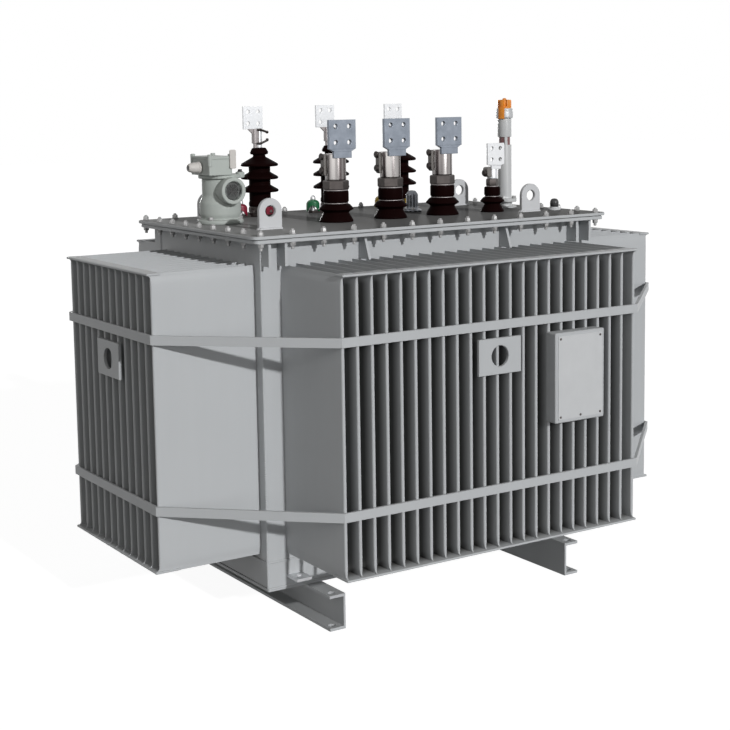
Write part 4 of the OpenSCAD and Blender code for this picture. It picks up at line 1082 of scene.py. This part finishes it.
def makeClampBushing(place, look, porcelainNode, terminalNode, flagFinish, barrelFinish):
    look = inMetres(look)
    low, _, middle = corners(porcelainNode)
    x, y, top = middle[0], middle[1], low[2] + look["top"]
    profile = skirtProfile(*(look[key] for key in ("foot", "waist", "rim", "skirt", "drum", "top")))
    makePiece("porcelain_" + place, [moved(turnedOn(profile, 64), x, y, low[2])], finish["porcelain"],
              [porcelainNode], crease=50)
    nut, barrel, boss, heads, flag = terminalShapes(look)
    makePiece("clampFlag_" + place, placed(flag, x, y, top), finish[flagFinish],
              [terminalNode], bevel=flagLook["edge"] * mm)
    makePiece("clampBarrel_" + place, [moved(barrel, x, y, top)], finish[barrelFinish])
    seal = slab(circle(look["drum"] - 0.0018, 48), look["skirt"] - 0.0006, look["skirt"] + look["sealLine"],
                0.0003)
    washer = slab(circle(look["nut"] * 0.545, 48), look["top"] - 0.0002, look["top"] + 0.0026, 0.0006)
    makePiece("sealRing_" + place, placed([seal, washer], x, y, low[2]), finish["saddle"])
    return moved(nut, x, y, top), moved(boss, x, y, top), placed(heads, x, y, top)


def makeLvBushings():
    rows = [("lv_" + place, lvLook, "lv_bushing_" + place, "lv_terminal_" + place, "tinned", "barrel")
            for place in ("left", "middle", "right")]
    rows.append(("neutral", neutralLook, "neutral_bushing", "neutral_terminal", "silvered", "silvered"))
    nuts, bosses, heads = zip(*(makeClampBushing(*row) for row in rows))
    makePiece("clampNuts", nuts, finish["nut"])
    makePiece("clampBosses", bosses, finish["boss"])
    makePiece("clampBolts", sum(heads, []), finish["clamp"])


makeLvBushings()
print("low-voltage and neutral bushings made")


# Protection relay: a cast pot with a window, a terminal box with its lid and a cable gland

relayLook = {"flange": 66.0, "flangeThick": 13.0, "pot": 60.0, "potTop": 78.0, "neck": 52.0,
             "headFoot": 132.0, "head": 62.0, "ring": 38.5, "ringReach": 88.0, "ringDeep": 26.0,
             "glassDrop": 6.0, "glass": 27.5, "window": 98.0, "ear": 13.0, "earIn": 12.0, "earFront": 32.0,
             "earRise": 6.0, "boltIn": 9.0}
relayBoxLook = {"width": 77.0, "back": 10.0, "corner": 6.0, "lid": 9.0, "boss": 7.0, "bossIn": 6.0,
                "bossDrop": 20.0, "bossRise": 6.0, "gland": 15.0, "glandLevel": 22.0, "glandLength": 37.0,
                "bore": 6.0, "core": 6.5, "strapWide": 20.0, "strapThick": 5.0, "strapFoot": 18.0,
                "strapTop": 18.0}


def relayCasting(look, headTop):
    # a turned pot and neck, a round head plate with an ear, and the window's ring and throat towards -Y
    flange, thick, pot, potTop, neck, headFoot = (
        look[key] for key in ("flange", "flangeThick", "pot", "potTop", "neck", "headFoot"))
    body = lathe([(0, 0), (flange, 0), (flange, thick), (pot - 0.006, thick + 0.001), (pot, thick + 0.014),
                  (pot, potTop - 0.016), (neck - 0.001, potTop + 0.004), (neck, potTop + 0.012),
                  (neck, headFoot), (0, headFoot)], 0.005, 4, 64)
    head = slab(circle(look["head"], 64), headFoot, headTop, 0.002)
    ear = slab(circle(look["ear"], 28), headFoot, headTop + look["earRise"], 0.002)
    ear = moved(ear, look["head"] - look["earIn"], -look["earFront"])
    ring = pierced(circle(look["ring"], 64), circle(look["glass"], 64), look["ringReach"] - look["ringDeep"],
                   look["ringReach"], 0.002)
    throat = rod(look["ring"] - 0.003, look["ringReach"] - 0.011, 0.001, 64)
    return [body, head, ear] + placed([aimed(ring, "-y"), aimed(throat, "-y")], 0, 0, look["window"])


def makeRelayBox():
    # a box with a lid and four corner bosses, a gland at its left and an upright strap at its right; the
    # cable's end in the gland is returned
    look = inMetres(relayBoxLook)
    low, high, middle = corners("relay_terminal_box")
    width, depth = look["width"], high[1] - low[1] + look["back"]
    x, y = high[0] - width / 2, middle[1] + look["back"] / 2
    line, lidFoot = rectangle(width, depth, look["corner"], 5), high[2] - look["lid"]
    case = [slab(shrunk(line, 0.0015), low[2], lidFoot + 0.001, 0.001), slab(line, lidFoot, high[2], 0.002)]
    boss = slab(circle(look["boss"], 20), lidFoot - look["bossDrop"], high[2] + look["bossRise"], 0.0012)
    bossX, bossY = width / 2 - look["bossIn"], depth / 2 - look["bossIn"]
    case += [moved(boss, sx * bossX, sy * bossY) for sx in (-1, 1) for sy in (-1, 1)]
    makePiece("relayBox", placed(case, x, y, 0), finish["fitting"], ["relay_terminal_box"])
    radius, long, bore = look["gland"], look["glandLength"], look["bore"]
    gland = lathe([(0, 0), (radius + 0.002, 0), (radius + 0.002, 0.006), (radius, 0.008),
                   (radius, long * 0.6), (radius - 0.003, long * 0.9), (radius - 0.005, long), (bore, long),
                   (bore, long * 0.7), (0, long * 0.7)], 0.0012, 3, 32)
    glandX, glandZ = x - width / 2, low[2] + look["glandLevel"]
    gland = moved(aimed(gland, "-x"), glandX, y, glandZ)
    strapHeight = high[2] + look["strapTop"] - low[2] - look["strapFoot"]
    line = np.array([[-0.5, 0], [0.5, 0], [0.5, 1], [-0.5, 1]]) * [look["strapWide"], strapHeight]
    strap = aimed(slab(softened(line, 0.005), 0, look["strapThick"], 0.0012), "-y")
    strap = moved(strap, high[0] - 0.002, low[1], low[2] + look["strapFoot"])
    makePiece("relayStrap", [gland, strap], finish["strap"])
    core = aimed(rod(look["core"], 0.004, 0.0005, 20), "-x")
    return moved(core, glandX - long + 0.003, y, glandZ)


def makeRelay():
    look = inMetres(relayLook)
    windowLow, windowHigh, window = corners("relay_window")
    foot, headTop = corners("relay_body")[0][2], corners("relay_terminal_box")[0][2]
    x, y = window[0], windowLow[1] - look["glassDrop"] + look["ringReach"]
    makePiece("relayCasting", placed(relayCasting(look, headTop - foot), x, y, foot), finish["fitting"],
              ["relay_body"])
    core = makeRelayBox()
    earScrew = moved(smallBolt("ear"), x + look["head"] - look["earIn"], y - look["earFront"],
                     headTop + look["earRise"])
    makePiece("relayDarkParts", [core, earScrew], finish["black"])
    radius, back, middle = look["glass"], windowHigh[1], window[2]
    glass = aimed(slab(circle(radius, 48), 0, 0.004, 0.0004), "-y")
    makePiece("relayGlass", [moved(glass, x, back, middle)], finish["glass"],
              ["relay_window"])
    # a dark disc behind the glass stands in for the shade inside the relay: painted shade
    shadeDisc = aimed(slab(circle(radius - 0.0005, 48), 0, 0.0012, 0.0002), "-y")
    makePiece("relayShadeDisc", [moved(shadeDisc, x, back + 0.0022, middle)], finish["shadeDisc"])
    screws = boltCircle("relay", look["flange"] - look["boltIn"], look["flangeThick"])
    bezel = pierced(circle(radius - 0.006, 48), circle(radius - 0.0075, 48), 0, 0.0008, 0.0001)
    bezel = moved(aimed(bezel, "-y"), x, back + 0.0012, middle)
    makePiece("relayScrews", placed(screws, x, y, foot) + [bezel], finish["bolt"])


makeRelay()
print("relay made")


# Level tube with its orange cap, thermometer pocket and tap changer

levelLook = {"tube": 22.0, "flange": 38.0, "flangeTop": 29.0, "boltIn": 8.0, "collar": 27.0,
             "collarHeight": 32.0, "sightLow": 201.0, "sightHigh": 226.0, "bar": 9.0, "cap": 22.0,
             "capBody": 26.5, "capHeight": 32.0}
capGrip = {"notches": 6, "depth": 0.30}             # the depth is a share of the cap's radius
levelTurns = {"highlightBars": (-115, 65), "tether": -150, "tetherSpan": 44.0}       # degrees


def capShape(look):
    # radius falls in at each notch as a power of the cosine; a plain knob stands in the middle
    turn = fullTurn(96)
    body, top = look["capBody"], look["capHeight"]
    rows = np.array([(1.0, 0), (1.0, 0.005), (1.0, 0.006), (1.0, body - 0.003), (0.93, body),
                     (0.45, body + 0.0005), (0.30, body + 0.001), (0.27, top - 0.002), (0.16, top)])
    grip = np.array([0, 0, 1, 1, 1, 0.3, 0, 0, 0])[:, None]
    notch = capGrip["depth"] * np.clip(np.cos(capGrip["notches"] * turn), 0, 1) ** 0.5
    radius = look["cap"] * rows[:, :1] * (1 - grip * notch)
    return skin(np.stack([radius * np.cos(turn), radius * np.sin(turn), rows[:, 1:] + 0 * turn], -1))


def makeLevelTube():
    look = inMetres(levelLook)
    low, high, middle = corners("level_tube")
    place = middle[0], middle[1], low[2]
    tube, flange, collar, total = look["tube"], look["flange"], look["collar"], high[2] - low[2]
    collarFoot, sightLow, sightHigh = total - look["collarHeight"], look["sightLow"], look["sightHigh"]
    flangeTop = look["flangeTop"]
    lower = lathe([(0, 0), (flange, 0), (flange, 0.005), (tube + 0.002, 0.006), (tube + 0.002, 0.018),
                   (flange, 0.019), (flange, flangeTop), (tube + 0.001, flangeTop + 0.001),
                   (tube, flangeTop + 0.005), (tube, sightLow), (0, sightLow)], 0.0012)
    upper = lathe([(0, sightHigh), (tube, sightHigh), (tube, collarFoot + 0.002), (0, collarFoot + 0.002)],
                  0.0012)
    # pale bars on the sight band: a painted highlight of the glass at -115 degrees and its twin opposite
    span = math.degrees(levelLook["bar"] / levelLook["tube"])
    highlightBars = [wallSector(tube - 0.004, tube - 0.0002, sightLow - 0.001, sightHigh + 0.001, turn, span)
            for turn in levelTurns["highlightBars"]]
    makePiece("levelTube", placed([lower, upper] + highlightBars, *place), finish["tube"],
              ["level_tube"])
    ring = lathe([(0, collarFoot), (collar - 0.002, collarFoot), (collar, collarFoot + 0.004),
                  (collar, total - 0.012), (collar - 0.002, total - 0.009), (collar - 0.001, total - 0.003),
                  (collar - 0.003, total), (0, total)], 0.0012)
    makePiece("levelCollar", [moved(ring, *place)], finish["plate"])
    sight = moved(rod(tube - 0.0042, sightHigh - sightLow + 0.002, 0, 40), 0, 0, sightLow - 0.001)
    makePiece("sightBand", [moved(sight, *place)], finish["sight"])
    screws = boltCircle("level", flange - look["boltIn"], flangeTop)
    makePiece("levelScrews", placed(screws, *place), finish["bolt"])
    capLow, _, cap = corners("level_cap")
    tether = wallSector(collar - 0.006, collar + 0.0008, collarFoot - 0.001, total + 0.002,
                        levelTurns["tether"], levelTurns["tetherSpan"])
    makePiece("levelKnob", [moved(capShape(look), cap[0], cap[1], capLow[2]), moved(tether, *place)],
              finish["orange"], ["level_cap"], crease=40)


makeLevelTube()

smallLook = {"pocketFoot": 20.0, "pocketFootHigh": 9.0, "pocketNeck": 15.5, "pocketCap": 14.0,
             "tapFoot": 30.0, "tapFootHigh": 7.0, "tapHood": 19.0, "tapBoltIn": 7.5}


def makeSmallFittings():
    look = inMetres(smallLook)
    low, high, middle = corners("thermometer_pocket")
    place, top = (middle[0], middle[1], low[2]), high[2] - low[2]
    cap, base, neck, foot = (
        look[key] for key in ("pocketCap", "pocketFoot", "pocketNeck", "pocketFootHigh"))
    knob = lathe([(0, foot), (cap - 0.001, foot), (cap, top - 0.010), (cap - 0.005, top - 0.001), (0, top)],
                 0.005, 4, 40)
    makePiece("pocketCap", [moved(knob, *place)], finish["black"], ["thermometer_pocket"])
    stand = lathe([(0, 0), (base, 0), (base, foot - 0.004), (neck, foot - 0.003), (neck, foot + 0.001),
                   (0, foot + 0.001)], 0.001, 3, 40)
    makePiece("pocketFoot", [moved(stand, *place)], finish["lug"])
    low, high, middle = corners("tap_changer")
    place, top = (middle[0], middle[1], low[2]), high[2] - low[2]
    base, foot, hood = look["tapFoot"], look["tapFootHigh"], look["tapHood"]
    cover = lathe([(0, 0), (base, 0), (base, foot), (hood + 0.003, foot + 0.002), (hood, foot + 0.007),
                   (hood, top - 0.012), (hood - 0.008, top - 0.001), (0, top)], 0.004, 4)
    makePiece("tapHood", [moved(cover, *place)], finish["hood"], ["tap_changer"])
    screws = boltCircle("tap", base - look["tapBoltIn"], foot)
    makePiece("tapScrews", placed(screws, *place), finish["bolt"])


makeSmallFittings()
print("small fittings made")


# The solids that keep their own shape: bare metal for the earth tabs, the tank's paint for the others

nodeFinish = {"earth_tabs": "silvered"}
for node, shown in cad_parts.items():
    for place in shown.material_slots:
        place.link, place.material = "OBJECT", finish[nodeFinish.get(node, "tank")]
print("solids painted")


# Studio: a pale floor, a key lamp from the front, weak lamps from the right, left and back, an even surround

studioLook = {"floorSize": 60.0, "floorBounce": 0.30, "floorSeen": 0.25, "floorGlow": 0.93, "surround": 0.16,
              "keyStrength": 2.22, "keyRise": 19.0, "keyTurn": 1.0, "keySpread": 1.6,
              "fillStrength": 0.30, "fillRise": 4.0, "fillTurn": 6.0, "fillSpread": 16.0,
              "sideStrength": 0.50, "sideRise": 12.0, "sideTurn": -64.0, "sideSpread": 70.0,
              "backStrength": 0.60, "backRise": 3.0, "backTurn": 165.0, "backSpread": 8.0}
lampColours = {"key": (1, 1, 1), "fill": (1, 1, 1), "side": (1.0, 0.97, 0.93), "back": (1, 1, 1)}


def seenRays(tree):                 # 1 for camera, glossy and transmission rays, 0 for the rest
    path = tree.nodes.new("ShaderNodeLightPath").outputs
    seen = mathNode(tree, "MAXIMUM", path["Is Camera Ray"], path["Is Glossy Ray"])
    return mathNode(tree, "MAXIMUM", seen, path["Is Transmission Ray"])


def makeFloor(look):
    mesh = bpy.data.meshes.new("studioFloor")
    points = level(rectangle(look["floorSize"], look["floorSize"]), 0.0)
    mesh.from_pydata(points.tolist(), [], [(0, 1, 2, 3)])
    floor = bpy.data.objects.new("studioFloor", mesh)
    bpy.context.scene.collection.objects.link(floor)
    material = bpy.data.materials.new("paleFloor")
    material.use_nodes = True
    tree = material.node_tree
    tree.nodes.clear()
    matt, glow = tree.nodes.new("ShaderNodeBsdfDiffuse"), tree.nodes.new("ShaderNodeEmission")
    both, output = tree.nodes.new("ShaderNodeAddShader"), tree.nodes.new("ShaderNodeOutputMaterial")
    seen = seenRays(tree)
    bounce, shown = (look["floorBounce"],) * 3, (look["floorSeen"],) * 3
    tree.links.new(mixColour(tree, seen, bounce, shown), matt.inputs["Color"])
    tree.links.new(mathNode(tree, "MULTIPLY", seen, look["floorGlow"]), glow.inputs["Strength"])
    tree.links.new(matt.outputs[0], both.inputs[0])
    tree.links.new(glow.outputs[0], both.inputs[1])
    tree.links.new(both.outputs[0], output.inputs["Surface"])
    mesh.materials.append(material)


def makeLamp(name, strength, rise, turn, spread, colour):
    # a distant lamp in front of the tank, raised by rise and carried round to the right by turn, in degrees
    data = bpy.data.lights.new(name, "SUN")
    data.energy, data.angle, data.color = strength, math.radians(spread), colour
    lamp = bpy.data.objects.new(name, data)
    bpy.context.scene.collection.objects.link(lamp)
    lamp.rotation_euler = (math.radians(90 - rise), 0, math.radians(turn))


def makeSurround(look):
    world = bpy.data.worlds.new("evenSurround")
    bpy.context.scene.world = world
    world.use_nodes = True
    tree = world.node_tree
    seen = seenRays(tree)
    tree.links.new(mathNode(tree, "MULTIPLY_ADD", seen, 1 - look["surround"], look["surround"]),
                   tree.nodes["Background"].inputs["Strength"])
    tree.nodes["Background"].inputs["Color"].default_value = (1, 1, 1, 1)


makeFloor(studioLook)
for name, key in (("frontKey", "key"), ("rightFill", "fill"), ("leftSoft", "side"), ("backSoft", "back")):
    values = (studioLook[key + part] for part in ("Strength", "Rise", "Turn", "Spread"))
    makeLamp(name, *values, lampColours[key])
makeSurround(studioLook)
bpy.context.scene.view_settings.view_transform = "Standard"
print("studio lit")
